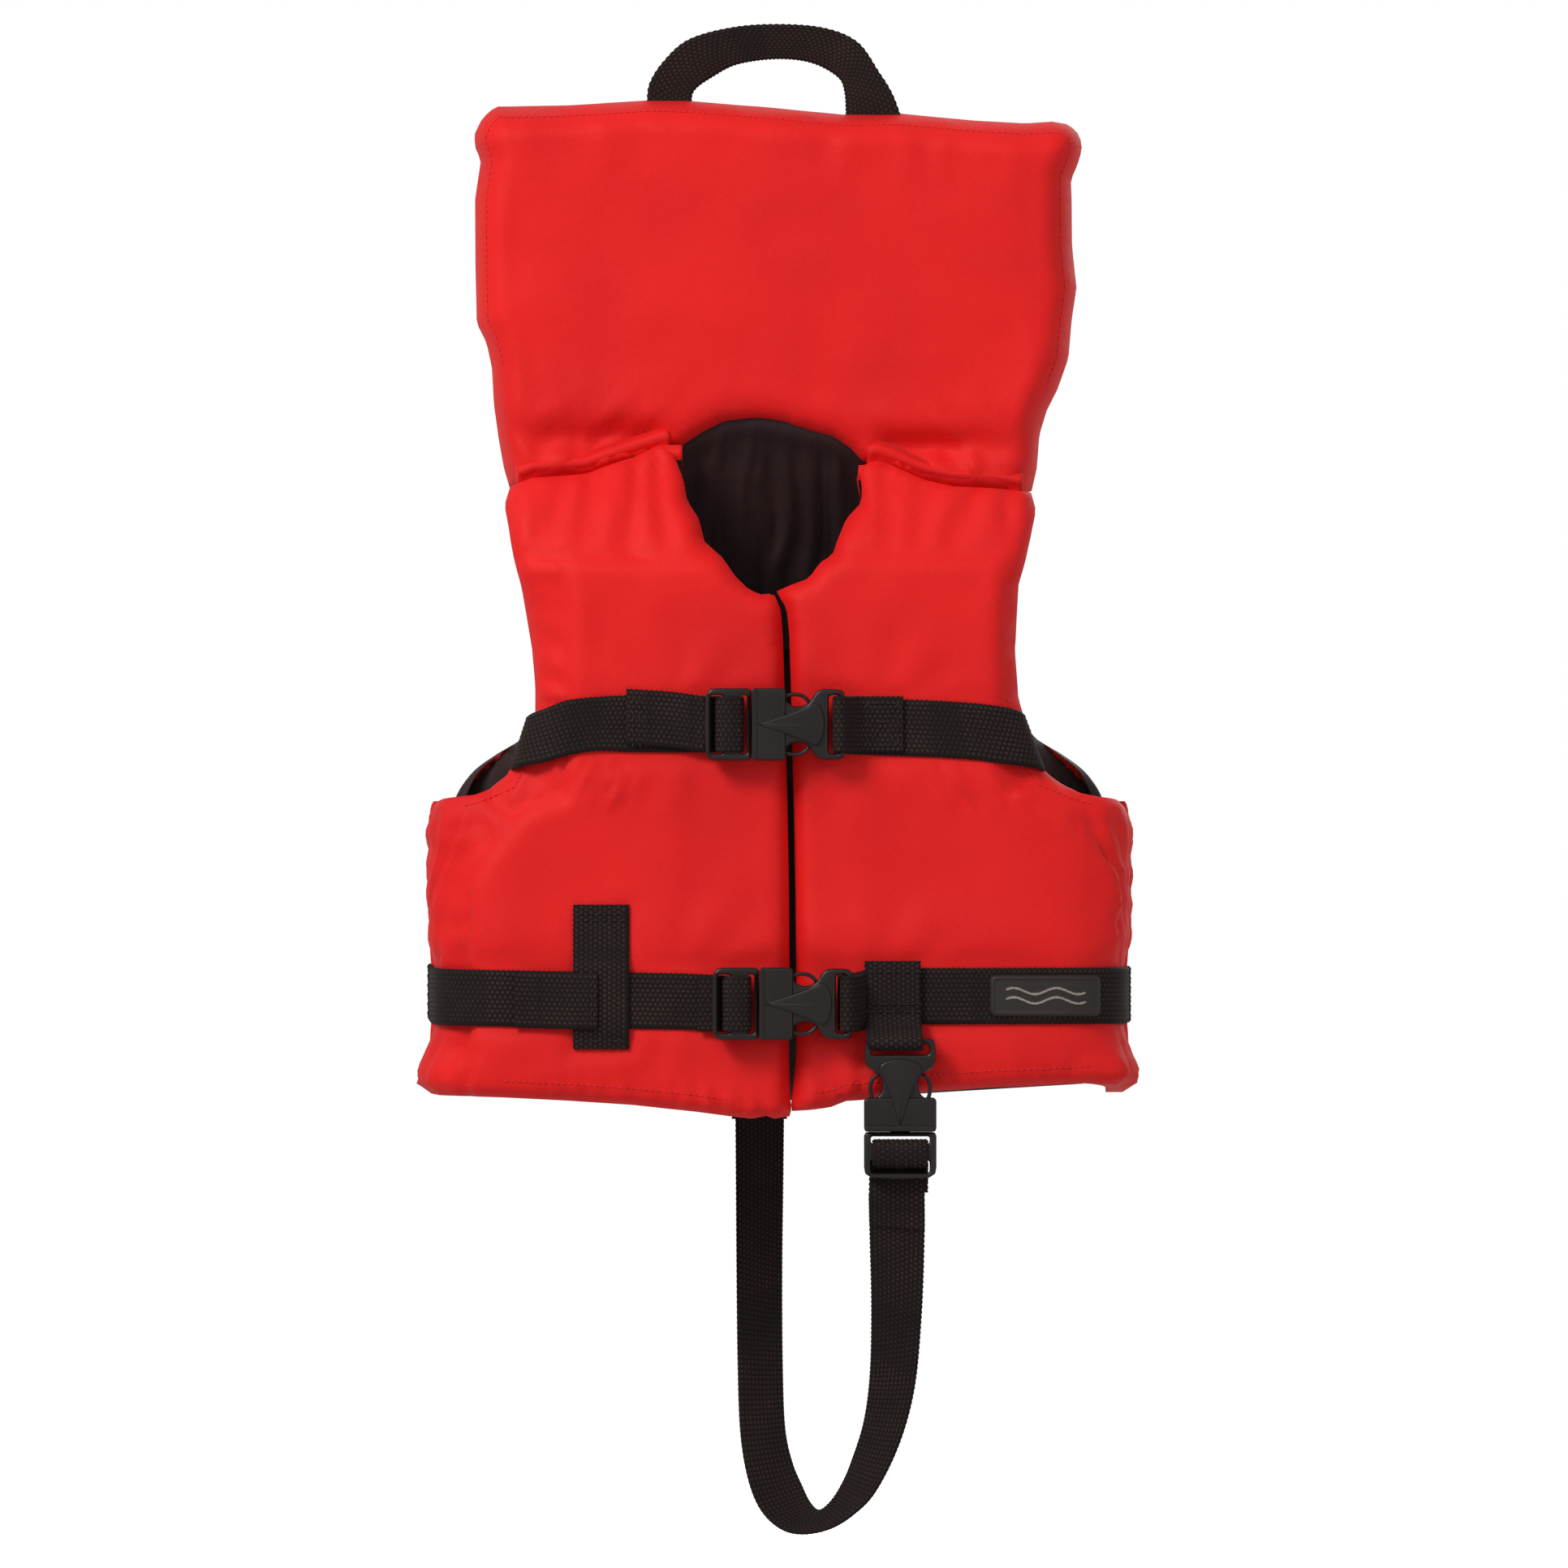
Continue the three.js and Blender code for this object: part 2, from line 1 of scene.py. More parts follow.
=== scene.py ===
import bpy, bmesh, json, math
import numpy as np
from mathutils import Vector, Matrix
from mathutils.geometry import delaunay_2d_cdt
from mathutils.bvhtree import BVHTree
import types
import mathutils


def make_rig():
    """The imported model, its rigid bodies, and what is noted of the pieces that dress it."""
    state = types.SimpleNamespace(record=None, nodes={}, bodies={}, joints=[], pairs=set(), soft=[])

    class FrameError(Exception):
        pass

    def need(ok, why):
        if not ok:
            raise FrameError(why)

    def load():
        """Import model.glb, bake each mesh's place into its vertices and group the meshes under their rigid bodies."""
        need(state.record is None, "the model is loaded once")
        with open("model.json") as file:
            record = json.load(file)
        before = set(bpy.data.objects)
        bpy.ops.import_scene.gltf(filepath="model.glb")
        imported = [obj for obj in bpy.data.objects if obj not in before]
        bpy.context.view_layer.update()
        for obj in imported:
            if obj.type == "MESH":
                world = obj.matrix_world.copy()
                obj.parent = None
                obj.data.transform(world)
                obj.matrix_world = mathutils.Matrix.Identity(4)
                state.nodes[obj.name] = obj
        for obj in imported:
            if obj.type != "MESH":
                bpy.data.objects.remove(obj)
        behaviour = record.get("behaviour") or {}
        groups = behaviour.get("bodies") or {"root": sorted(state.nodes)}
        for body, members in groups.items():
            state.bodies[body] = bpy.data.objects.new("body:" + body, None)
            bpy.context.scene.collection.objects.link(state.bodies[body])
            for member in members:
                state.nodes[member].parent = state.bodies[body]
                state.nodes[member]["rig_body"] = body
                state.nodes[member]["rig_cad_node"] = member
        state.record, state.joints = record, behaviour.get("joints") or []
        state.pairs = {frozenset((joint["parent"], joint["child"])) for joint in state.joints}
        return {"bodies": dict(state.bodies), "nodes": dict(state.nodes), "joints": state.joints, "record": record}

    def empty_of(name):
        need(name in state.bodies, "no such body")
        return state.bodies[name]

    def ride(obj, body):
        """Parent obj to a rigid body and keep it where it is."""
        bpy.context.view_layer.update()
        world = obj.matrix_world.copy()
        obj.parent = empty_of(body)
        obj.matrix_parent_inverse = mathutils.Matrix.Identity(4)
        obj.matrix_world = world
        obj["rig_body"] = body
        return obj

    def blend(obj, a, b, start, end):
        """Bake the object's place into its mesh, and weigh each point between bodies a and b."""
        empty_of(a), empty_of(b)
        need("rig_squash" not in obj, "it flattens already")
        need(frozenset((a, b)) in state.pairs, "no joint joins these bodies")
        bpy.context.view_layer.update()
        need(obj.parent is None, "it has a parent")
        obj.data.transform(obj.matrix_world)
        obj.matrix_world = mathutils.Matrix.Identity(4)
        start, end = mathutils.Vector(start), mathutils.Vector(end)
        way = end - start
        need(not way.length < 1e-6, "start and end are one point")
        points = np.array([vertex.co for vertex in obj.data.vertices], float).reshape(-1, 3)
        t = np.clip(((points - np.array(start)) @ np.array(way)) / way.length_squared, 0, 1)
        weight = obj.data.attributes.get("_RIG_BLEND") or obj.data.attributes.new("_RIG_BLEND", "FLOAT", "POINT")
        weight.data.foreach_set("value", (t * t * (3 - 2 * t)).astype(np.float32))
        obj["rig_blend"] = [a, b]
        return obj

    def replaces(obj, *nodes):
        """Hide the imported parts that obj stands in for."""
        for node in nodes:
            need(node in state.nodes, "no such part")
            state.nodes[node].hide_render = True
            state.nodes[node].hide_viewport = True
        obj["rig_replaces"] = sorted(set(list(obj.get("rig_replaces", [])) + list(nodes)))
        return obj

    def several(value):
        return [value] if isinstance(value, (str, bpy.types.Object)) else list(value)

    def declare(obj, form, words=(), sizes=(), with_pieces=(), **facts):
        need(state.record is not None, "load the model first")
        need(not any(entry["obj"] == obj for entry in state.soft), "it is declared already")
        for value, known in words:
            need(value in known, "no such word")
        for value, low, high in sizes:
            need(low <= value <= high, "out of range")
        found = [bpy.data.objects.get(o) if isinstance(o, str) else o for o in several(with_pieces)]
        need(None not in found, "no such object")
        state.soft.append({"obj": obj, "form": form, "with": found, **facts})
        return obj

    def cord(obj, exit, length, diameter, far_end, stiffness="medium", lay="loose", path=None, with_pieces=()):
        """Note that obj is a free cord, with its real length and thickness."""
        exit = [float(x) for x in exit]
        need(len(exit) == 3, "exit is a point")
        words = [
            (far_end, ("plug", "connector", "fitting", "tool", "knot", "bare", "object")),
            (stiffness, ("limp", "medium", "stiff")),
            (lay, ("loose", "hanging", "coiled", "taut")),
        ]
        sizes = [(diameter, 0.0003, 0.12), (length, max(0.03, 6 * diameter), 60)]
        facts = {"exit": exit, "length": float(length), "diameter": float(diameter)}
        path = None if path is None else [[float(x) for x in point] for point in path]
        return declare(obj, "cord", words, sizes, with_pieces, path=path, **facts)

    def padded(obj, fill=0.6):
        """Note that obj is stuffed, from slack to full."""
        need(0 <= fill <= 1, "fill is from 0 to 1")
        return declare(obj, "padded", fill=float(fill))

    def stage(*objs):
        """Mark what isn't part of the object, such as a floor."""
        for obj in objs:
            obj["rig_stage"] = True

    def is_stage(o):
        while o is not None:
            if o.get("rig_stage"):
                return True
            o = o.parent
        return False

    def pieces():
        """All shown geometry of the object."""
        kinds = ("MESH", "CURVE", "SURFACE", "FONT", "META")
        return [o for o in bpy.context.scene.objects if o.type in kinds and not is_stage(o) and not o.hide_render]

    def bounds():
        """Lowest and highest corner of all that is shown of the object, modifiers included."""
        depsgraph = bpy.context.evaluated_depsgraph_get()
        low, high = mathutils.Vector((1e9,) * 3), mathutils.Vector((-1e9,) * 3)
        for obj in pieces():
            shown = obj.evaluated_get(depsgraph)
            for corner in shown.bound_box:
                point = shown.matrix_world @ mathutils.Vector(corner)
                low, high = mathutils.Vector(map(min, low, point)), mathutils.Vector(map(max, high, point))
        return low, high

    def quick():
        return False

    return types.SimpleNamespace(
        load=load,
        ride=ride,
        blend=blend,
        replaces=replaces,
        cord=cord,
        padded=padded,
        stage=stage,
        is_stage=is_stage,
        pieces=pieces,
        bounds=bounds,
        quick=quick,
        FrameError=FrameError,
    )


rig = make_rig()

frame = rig.load()
CAD_BOX = [list(map(float, p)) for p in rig.bounds()]
MM = 0.001
scene = bpy.context.scene
COL = scene.collection

# ------------------------------------------------------------------ helpers
def smooth(a, b, x):
    t = np.clip((np.asarray(x, float) - a) / (b - a), 0, 1)
    return t * t * (3 - 2 * t)

_tables = {}
def vnoise(x, y, seed):
    if seed not in _tables:
        _tables[seed] = np.random.RandomState(seed).rand(64, 64) * 2 - 1
    T = _tables[seed]
    x, y = np.asarray(x, float), np.asarray(y, float)
    xi, yi = np.floor(x).astype(int), np.floor(y).astype(int)
    fx, fy = x - xi, y - yi
    fx, fy = fx * fx * fx * (fx * (fx * 6 - 15) + 10), fy * fy * fy * (fy * (fy * 6 - 15) + 10)
    a, b = T[xi % 64, yi % 64], T[(xi + 1) % 64, yi % 64]
    c, d = T[xi % 64, (yi + 1) % 64], T[(xi + 1) % 64, (yi + 1) % 64]
    return (a * (1 - fx) + b * fx) * (1 - fy) + (c * (1 - fx) + d * fx) * fy

def fbm(x, y, seed, octaves=3, gain=0.5):
    r, amp = 0, 1.0
    for k in range(octaves):
        r = r + amp * vnoise(x * 2 ** k, y * 2 ** k, seed + 11 * k)
        amp *= gain
    return r

def folds(u, v, wave, along, seed, sharp=1.6, wander=0.45):
    """soft folds that run along v and repeat across u, with wandering places and strengths; -1..1"""
    ph = u / wave + wander * vnoise(u / (wave * 2.2), v / along, seed) + 0.25 * vnoise(u / wave, v / (along * 0.45), seed + 3)
    r = 1 - 2 * np.abs(2 * (ph - np.floor(ph)) - 1) ** sharp
    return r * (0.55 + 0.45 * vnoise(u / (wave * 1.3), v / (along * 0.8), seed + 7))

def seg_dist(P, poly, closed=False):
    A = np.asarray(poly, float)
    B = np.roll(A, -1, 0) if closed else A[1:]
    A = A if closed else A[:-1]
    best = np.full(len(P), 1e9)
    for a, b in zip(A, B):
        d = b - a
        l2 = max(1e-9, d @ d)
        t = np.clip(((P - a) @ d) / l2, 0, 1)
        best = np.minimum(best, np.hypot(P[:, 0] - a[0] - t * d[0], P[:, 1] - a[1] - t * d[1]))
    return best

def inside(P, poly):
    A = np.asarray(poly, float)
    x, y = P[:, 0], P[:, 1]
    r = np.zeros(len(P), bool)
    for (x0, y0), (x1, y1) in zip(A, np.roll(A, -1, 0)):
        c = (y0 > y) != (y1 > y)
        with np.errstate(divide='ignore', invalid='ignore'):
            r ^= c & (x < (x1 - x0) * (y - y0) / (y1 - y0 + 1e-30) + x0)
    return r

def signed(P, poly):
    return np.where(inside(P, poly), 1, -1) * seg_dist(P, poly, True)

def chaikin(P, n=1, closed=True):
    P = np.asarray(P, float)
    for _ in range(n):
        Q = np.roll(P, -1, 0)
        if closed:
            P = np.stack([0.75 * P + 0.25 * Q, 0.25 * P + 0.75 * Q], 1).reshape(-1, P.shape[1])
        else:
            a, b = P[:-1], P[1:]
            P = np.concatenate([P[:1], np.stack([0.75 * a + 0.25 * b, 0.25 * a + 0.75 * b], 1).reshape(-1, P.shape[1])[1:-1], P[-1:]])
    return P

def resample(P, step=None, n=None, closed=False):
    P = np.asarray(P, float)
    if closed:
        P = np.concatenate([P, P[:1]])
    L = np.concatenate([[0], np.cumsum(np.linalg.norm(np.diff(P, axis=0), axis=1))])
    if n is None:
        n = max(2, int(round(L[-1] / step))) + (0 if closed else 1)
    t = np.linspace(0, L[-1], n, endpoint=not closed)
    return np.stack([np.interp(t, L, P[:, k]) for k in range(P.shape[1])], 1)

def spline(P, n):
    """points on a smooth curve through P (Catmull-Rom), n of them, evenly spaced"""
    P = np.asarray(P, float)
    Q = np.concatenate([[2 * P[0] - P[1]], P, [2 * P[-1] - P[-2]]])
    out = []
    for i in range(1, len(Q) - 2):
        t = np.linspace(0, 1, 16, endpoint=False)[:, None]
        a, b, c, d = Q[i - 1], Q[i], Q[i + 1], Q[i + 2]
        out.append(0.5 * (2 * b + (c - a) * t + (2 * a - 5 * b + 4 * c - d) * t ** 2 + (3 * b - a - 3 * c + d) * t ** 3))
    out.append(P[-1:])
    return resample(np.concatenate(out), n=n)

def make(name, V, F, mats, idx=None, shade=True):
    """V in mm"""
    me = bpy.data.meshes.new(name)
    V = np.asarray(V, float) * MM
    me.from_pydata(V.tolist(), [], [list(map(int, f)) for f in F])
    me.validate()
    for m in mats:
        me.materials.append(m)
    if idx is not None and len(me.polygons) == len(idx):
        me.polygons.foreach_set("material_index", np.asarray(idx, np.int32))
    if shade:
        me.polygons.foreach_set("use_smooth", np.ones(len(me.polygons), bool))
    me.update()
    o = bpy.data.objects.new(name, me)
    COL.objects.link(o)
    return o

def coords(o):
    co = np.zeros(len(o.data.vertices) * 3)
    o.data.vertices.foreach_get("co", co)
    return co.reshape(-1, 3) / MM

def set_coords(o, V):
    o.data.vertices.foreach_set("co", (np.asarray(V) * MM).ravel())
    o.data.update()

def outward(o):
    bm = bmesh.new(); bm.from_mesh(o.data)
    bmesh.ops.recalc_face_normals(bm, faces=bm.faces)
    bm.to_mesh(o.data); bm.free()

def bake(o):
    """apply all modifiers"""
    dg = bpy.context.evaluated_depsgraph_get()
    me = bpy.data.meshes.new_from_object(o.evaluated_get(dg), depsgraph=dg)
    o.modifiers.clear()
    o.data = me
    return o

def join(objs, name):
    bpy.ops.object.select_all(action='DESELECT')
    for o in objs:
        o.select_set(True)
    bpy.context.view_layer.objects.active = objs[0]
    bpy.ops.object.join()
    objs[0].name = name
    objs[0].data.name = name
    return objs[0]

# ------------------------------------------------------------------ materials
def srgb(r, g, b):
    f = lambda c: c / 12.92 if c <= 0.04045 else ((c + 0.055) / 1.055) ** 2.4
    return (f(r / 255), f(g / 255), f(b / 255), 1)

class Mat:
    def __init__(self, name):
        self.m = bpy.data.materials.new(name)
        self.m.use_nodes = True
        self.t = self.m.node_tree
        self.b = self.t.nodes["Principled BSDF"]
        self.co = self.t.nodes.new("ShaderNodeTexCoord").outputs["Object"]
    def node(self, kind, **kw):
        n = self.t.nodes.new(kind)
        for k, v in kw.items():
            if k in n.inputs:
                n.inputs[k].default_value = v
            else:
                setattr(n, k, v)
        return n
    def link(self, a, b):
        self.t.links.new(a, b)
    def mapped(self, scale, rot=(0, 0, 0)):
        n = self.node("ShaderNodeMapping")
        n.inputs["Scale"].default_value = scale
        n.inputs["Rotation"].default_value = rot
        self.link(self.co, n.inputs["Vector"])
        return n.outputs["Vector"]
    def noise(self, scale, detail=3, rough=0.5, vec=None):
        n = self.node("ShaderNodeTexNoise")
        n.inputs["Scale"].default_value = scale
        n.inputs["Detail"].default_value = detail
        n.inputs["Roughness"].default_value = rough
        self.link(vec or self.co, n.inputs["Vector"])
        return n.outputs["Fac"]
    def wave(self, scale, direction, distort=0.0):
        n = self.node("ShaderNodeTexWave")
        n.bands_direction = direction
        n.inputs["Scale"].default_value = scale
        n.inputs["Distortion"].default_value = distort
        self.link(self.co, n.inputs["Vector"])
        return n.outputs["Fac"]
    def math(self, op, a, b=None):
        n = self.node("ShaderNodeMath", operation=op)
        for i, v in enumerate((a, b)):
            if v is None:
                continue
            if isinstance(v, (int, float)):
                n.inputs[i].default_value = v
            else:
                self.link(v, n.inputs[i])
        return n.outputs[0]
    def ramp(self, fac, stops):
        n = self.node("ShaderNodeValToRGB")
        els = n.color_ramp.elements
        while len(els) < len(stops):
            els.new(0.5)
        for e, (p, c) in zip(els, stops):
            e.position = p; e.color = c
        self.link(fac, n.inputs["Fac"])
        return n.outputs["Color"]
    def range(self, fac, lo, hi):
        n = self.node("ShaderNodeMapRange")
        n.inputs["To Min"].default_value = lo
        n.inputs["To Max"].default_value = hi
        self.link(fac, n.inputs["Value"])
        return n.outputs["Result"]
    def bumps(self, *layers):
        prev = None
        for height, dist, strength in layers:
            n = self.node("ShaderNodeBump")
            n.inputs["Distance"].default_value = dist
            n.inputs["Strength"].default_value = strength
            self.link(height, n.inputs["Height"])
            if prev is not None:
                self.link(prev, n.inputs["Normal"])
            prev = n.outputs["Normal"]
        self.link(prev, self.b.inputs["Normal"])

def set_in(b, name, v):
    if name in b.inputs:
        b.inputs[name].default_value = v

def nylon(name, dark, mid, light, rough=(0.56, 0.68), sheen=0.05, sheen_tint=(1, 0.5, 0.45, 1), weave=0.25, spec=0.22):
    k = Mat(name)
    big, fine = k.noise(14, 3), k.noise(420, 2)
    k.link(k.ramp(k.math('ADD', k.math('MULTIPLY', big, 0.8), k.math('MULTIPLY', fine, 0.2)), [(0.3, dark), (0.5, mid), (0.72, light)]), k.b.inputs["Base Color"])
    k.link(k.range(k.noise(60, 3), *rough), k.b.inputs["Roughness"])
    wx, wz = k.wave(520, 'X', 0.3), k.wave(520, 'Z', 0.3)
    w = k.math('MAXIMUM', wx, wz)
    crumple = k.noise(95, 4, 0.55)
    soft = k.noise(30, 3, 0.5)
    k.bumps((soft, 0.0012, 0.16), (crumple, 0.0005, 0.22), (fine, 0.0002, 0.5), (w, 0.0001, weave))
    set_in(k.b, "Sheen Weight", sheen); set_in(k.b, "Sheen Roughness", 0.45); set_in(k.b, "Sheen Tint", sheen_tint)
    set_in(k.b, "Specular IOR Level", spec)
    return k.m

RED = nylon("red_nylon", srgb(221, 22, 24), srgb(232, 25, 25), srgb(238, 29, 27))
RED_IN = RED
BLACK = nylon("black_lining", srgb(36, 21, 21), srgb(49, 30, 30), srgb(62, 42, 41), rough=(0.55, 0.7), sheen=0.03, sheen_tint=(1, 0.95, 0.95, 1), weave=0.4, spec=0.25)

def webbing(name, c0, c1, c2):
    k = Mat(name)
    n, f = k.noise(55, 3), k.noise(900, 2)
    k.link(k.ramp(k.math('ADD', k.math('MULTIPLY', n, 0.5), k.math('MULTIPLY', f, 0.5)), [(0.3, c0), (0.5, c1), (0.7, c2)]), k.b.inputs["Base Color"])
    k.link(k.range(f, 0.62, 0.85), k.b.inputs["Roughness"])
    k.bumps((k.noise(1500, 2), 0.0002, 0.5), (f, 0.0003, 0.35))
    set_in(k.b, "Sheen Weight", 0.04); set_in(k.b, "Sheen Roughness", 0.5)
    set_in(k.b, "Specular IOR Level", 0.2)
    return k.m
WEB = webbing("webbing", srgb(41, 25, 22), srgb(55, 36, 32), srgb(70, 49, 43))
# near-black copy of the webbing material, put on the faces low in the weave: painted shade in its grooves
WEB_PAINTED_SHADE = webbing("webbing_painted_groove_shade", srgb(15, 9, 8), srgb(21, 12, 11), srgb(28, 18, 16))

def plastic():
    k = Mat("buckle_plastic")
    k.link(k.ramp(k.noise(35, 3), [(0.3, srgb(22, 16, 14)), (0.7, srgb(31, 23, 20))]), k.b.inputs["Base Color"])
    k.link(k.range(k.noise(160, 4), 0.28, 0.44), k.b.inputs["Roughness"])
    k.bumps((k.noise(2600, 2), 0.00006, 0.45), (k.noise(120, 2), 0.0002, 0.2))
    set_in(k.b, "Specular IOR Level", 0.42)
    return k.m
PLASTIC = plastic()

def rubber():
    k = Mat("patch_rubber")
    k.link(k.ramp(k.noise(40, 3), [(0.3, srgb(28, 21, 19)), (0.7, srgb(38, 29, 27))]), k.b.inputs["Base Color"])
    k.link(k.range(k.noise(220, 3), 0.5, 0.68), k.b.inputs["Roughness"])
    k.bumps((k.noise(1800, 2), 0.00008, 0.5), (k.noise(200, 2), 0.0002, 0.2))
    return k.m
RUBBER = rubber()

def thread(name, c0, c1):
    k = Mat(name)
    k.link(k.ramp(k.noise(700, 2), [(0.35, c0), (0.65, c1)]), k.b.inputs["Base Color"])
    k.link(k.range(k.noise(900, 2), 0.45, 0.65), k.b.inputs["Roughness"])
    k.bumps((k.noise(2500, 2), 0.0001, 0.6))
    return k.m
THREAD_RED = thread("thread_red", srgb(214, 20, 22), srgb(234, 28, 28))
THREAD_BLACK = thread("thread_black", srgb(16, 12, 12), srgb(34, 28, 27))
PRINT = thread("patch_print", srgb(138, 130, 121), srgb(152, 144, 134))

# ------------------------------------------------------------------ camera first
SHOT = 20.0
cam_data = bpy.data.cameras.new("camera")
cam = bpy.data.objects.new("camera", cam_data)
COL.objects.link(cam)
cam_data.sensor_width = 36
cam_data.lens = 36 * SHOT / 0.7103
cam_data.clip_start, cam_data.clip_end = 0.05, 200
cam.location = (0.0022, -0.060 - SHOT, -0.3294)
cam.rotation_euler = (math.radians(90), 0, 0)
scene.camera = cam

# ------------------------------------------------------------------ webbing
PITCH = 2.3
def ribbon(name, A, B, t=1.6, mat=None, weave=0.38, wave_seed=1, ends=True, sway=0.0):
    """flat strap between two edge curves in mm, woven relief on both faces"""
    A, B = np.asarray(A, float), np.asarray(B, float)
    mid = (A + B) / 2
    L = np.linalg.norm(np.diff(mid, axis=0), axis=1).sum()
    n = max(6, int(L / (PITCH / 4)))
    full = resample(np.concatenate([A, B], 1), n=n) if len(A) > 2 else np.concatenate([A[:1] + (A[1:] - A[:1]) * np.linspace(0, 1, n)[:, None], B[:1] + (B[1:] - B[:1]) * np.linspace(0, 1, n)[:, None]], 1)
    A, B = full[:, :3], full[:, 3:]
    s = np.linspace(0, L, n)
    nv = 24
    across = np.linspace(0, 1, nv + 1)
    tang = np.gradient((A + B) / 2, axis=0)
    nor = np.cross(tang, B - A)
    nor /= np.linalg.norm(nor, axis=1)[:, None] + 1e-12
    for _ in range(3):
        nor[1:-1] = (nor[:-2] + nor[1:-1] * 2 + nor[2:]) / 4
    nor /= np.linalg.norm(nor, axis=1)[:, None] + 1e-12
    wide = (B - A) / (np.linalg.norm(B - A, axis=1)[:, None] + 1e-12)
    rows = []
    S, U = np.meshgrid(s, across, indexing='ij')
    col = np.floor(U * 12.0 - 1e-6)
    rib = np.cos(2 * np.pi * S / PITCH + np.pi * (col % 2))
    groove = np.abs(np.sin(np.pi * U * 12.0))
    edge = smooth(0, 0.035, U) * smooth(0, 0.035, 1 - U)
    h = weave * (0.55 * rib + 0.6 * groove - 0.5) + (edge - 1) * 0.45 * t * 0.5
    serr = 0.22 * np.cos(2 * np.pi * s / PITCH)
    sw = sway * vnoise(s / 23.0, s * 0 + 0.5, wave_seed)
    top = A[:, None] + (B - A)[:, None] * across[None, :, None] + nor[:, None] * (t / 2 + h)[:, :, None]
    bot = A[:, None] + (B - A)[:, None] * across[None, :, None] - nor[:, None] * (t / 2 + h)[:, :, None]
    for G in (top, bot):
        G[:, 0] -= wide * serr[:, None]
        G[:, -1] += wide * serr[:, None]
        G += wide[:, None] * sw[:, None, None]
    ring = np.concatenate([top, bot[:, ::-1]], 1)          # n x 2(nv+1) x 3
    m = ring.shape[1]
    V = ring.reshape(-1, 3)
    # faces low in the weave relief get the near-black webbing copy: painted shade in the grooves
    hh = np.concatenate([h, h[:, ::-1]], 1)
    hf = (hh[:-1] + hh[1:] + np.roll(hh, -1, 1)[:-1] + np.roll(hh, -1, 1)[1:]) / 4
    dark = (hf < -0.16 * weave).reshape(-1).astype(int).tolist() + [0] * (2 * nv)
    i, j = np.meshgrid(np.arange(n - 1), np.arange(m), indexing='ij')
    a = i * m + j; b = i * m + (j + 1) % m
    F = np.stack([a, b, b + m, a + m], -1).reshape(-1, 4).tolist()
    for base in (0, (n - 1) * m):
        for k in range(nv):
            q = [base + k, base + k + 1, base + m - 2 - k, base + m - 1 - k]
            F.append(q if base == 0 else q[::-1])
    o = make(name, V, F, [mat or WEB, WEB_PAINTED_SHADE], dark)
    outward(o)
    return o

def flat_belt(name, pts, z0, w=25.4, t=1.6, **kw):
    """belt from (x, y[, z]) points with its width up Z"""
    P = np.array([[p[0], p[1], (p[2] if len(p) > 2 else z0)] for p in pts], float)
    P = spline(P, 160) if len(P) > 2 else P
    up = np.array([0, 0, w / 2])
    return ribbon(name, P + up, P - up, t, **kw)

# ------------------------------------------------------------------ stitches
def stitches(name, runs, mat, normal=None, pitch=3.0, length=2.1, r=0.32):
    """runs: list of (points, normals) in mm; one elongated bead for each stitch"""
    V, F = [], []
    for P, N in runs:
        P = np.asarray(P, float)
        L = np.concatenate([[0], np.cumsum(np.linalg.norm(np.diff(P, axis=0), axis=1))])
        if L[-1] < pitch:
            continue
        k = int(L[-1] / pitch)
        c = (np.arange(k) + 0.5) * L[-1] / k
        at = lambda t: np.array([np.interp(t, L, P[:, q]) for q in range(3)])
        N = np.asarray(N, float)
        for t in c:
            p0, p1 = at(t - length / 2), at(t + length / 2)
            d = p1 - p0
            d /= np.linalg.norm(d) + 1e-9
            nn = np.array([np.interp(t, L, N[:, q]) for q in range(3)]) if N.ndim == 2 else N
            nn = nn / (np.linalg.norm(nn) + 1e-9)
            b = np.cross(d, nn); b /= np.linalg.norm(b) + 1e-9
            base = len(V)
            for u, rr, lift in ((-0.5, 0.35, -0.25), (-0.25, 0.95, 0.12), (0.25, 0.95, 0.12), (0.5, 0.35, -0.25)):
                for q in range(6):
                    an = q * math.pi / 3
                    V.append(at(t) + d * u * length + (b * math.cos(an) * rr + nn * (math.sin(an) * rr * 0.8 + lift)) * r)
            for u in range(3):
                for q in range(6):
                    a0, a1 = base + u * 6 + q, base + u * 6 + (q + 1) % 6
                    F.append([a0, a1, a1 + 6, a0 + 6])
            F.append([base + q for q in range(5, -1, -1)])
            F.append([base + 18 + q for q in range(6)])
    o = make(name, V, F, [mat])
    outward(o)
    return o

def tree_of(o):
    me = o.data
    return BVHTree.FromPolygons([v.co.copy() for v in me.vertices], [tuple(p.vertices) for p in me.polygons])

def cast(tree, P, direction, start=200):
    """points P (mm) dropped onto a surface along direction"""
    out, nor = [], []
    d = Vector(direction).normalized()
    for p in P:
        o = Vector([c * MM for c in p]) - d * (start * MM)
        hit, n, i, dist = tree.ray_cast(o, d)
        if hit is None:
            continue
        if n.dot(d) > 0:
            n = -n
        out.append([c / MM for c in hit]); nor.append(list(n))
    return np.array(out), np.array(nor)

# ------------------------------------------------------------------ plan curves of the torso
def plan_curve(pts):
    P = chaikin(np.array(pts, float), 4, closed=False)
    P = resample(P, n=600)
    L = np.concatenate([[0], np.cumsum(np.linalg.norm(np.diff(P, axis=0), axis=1))])
    T = np.gradient(P, axis=0)
    T /= np.linalg.norm(T, axis=1)[:, None]
    for _ in range(30):
        T[1:-1] = (T[:-2] + T[1:-1] + T[2:]) / 3
    T /= np.linalg.norm(T, axis=1)[:, None]
    return L, P, T

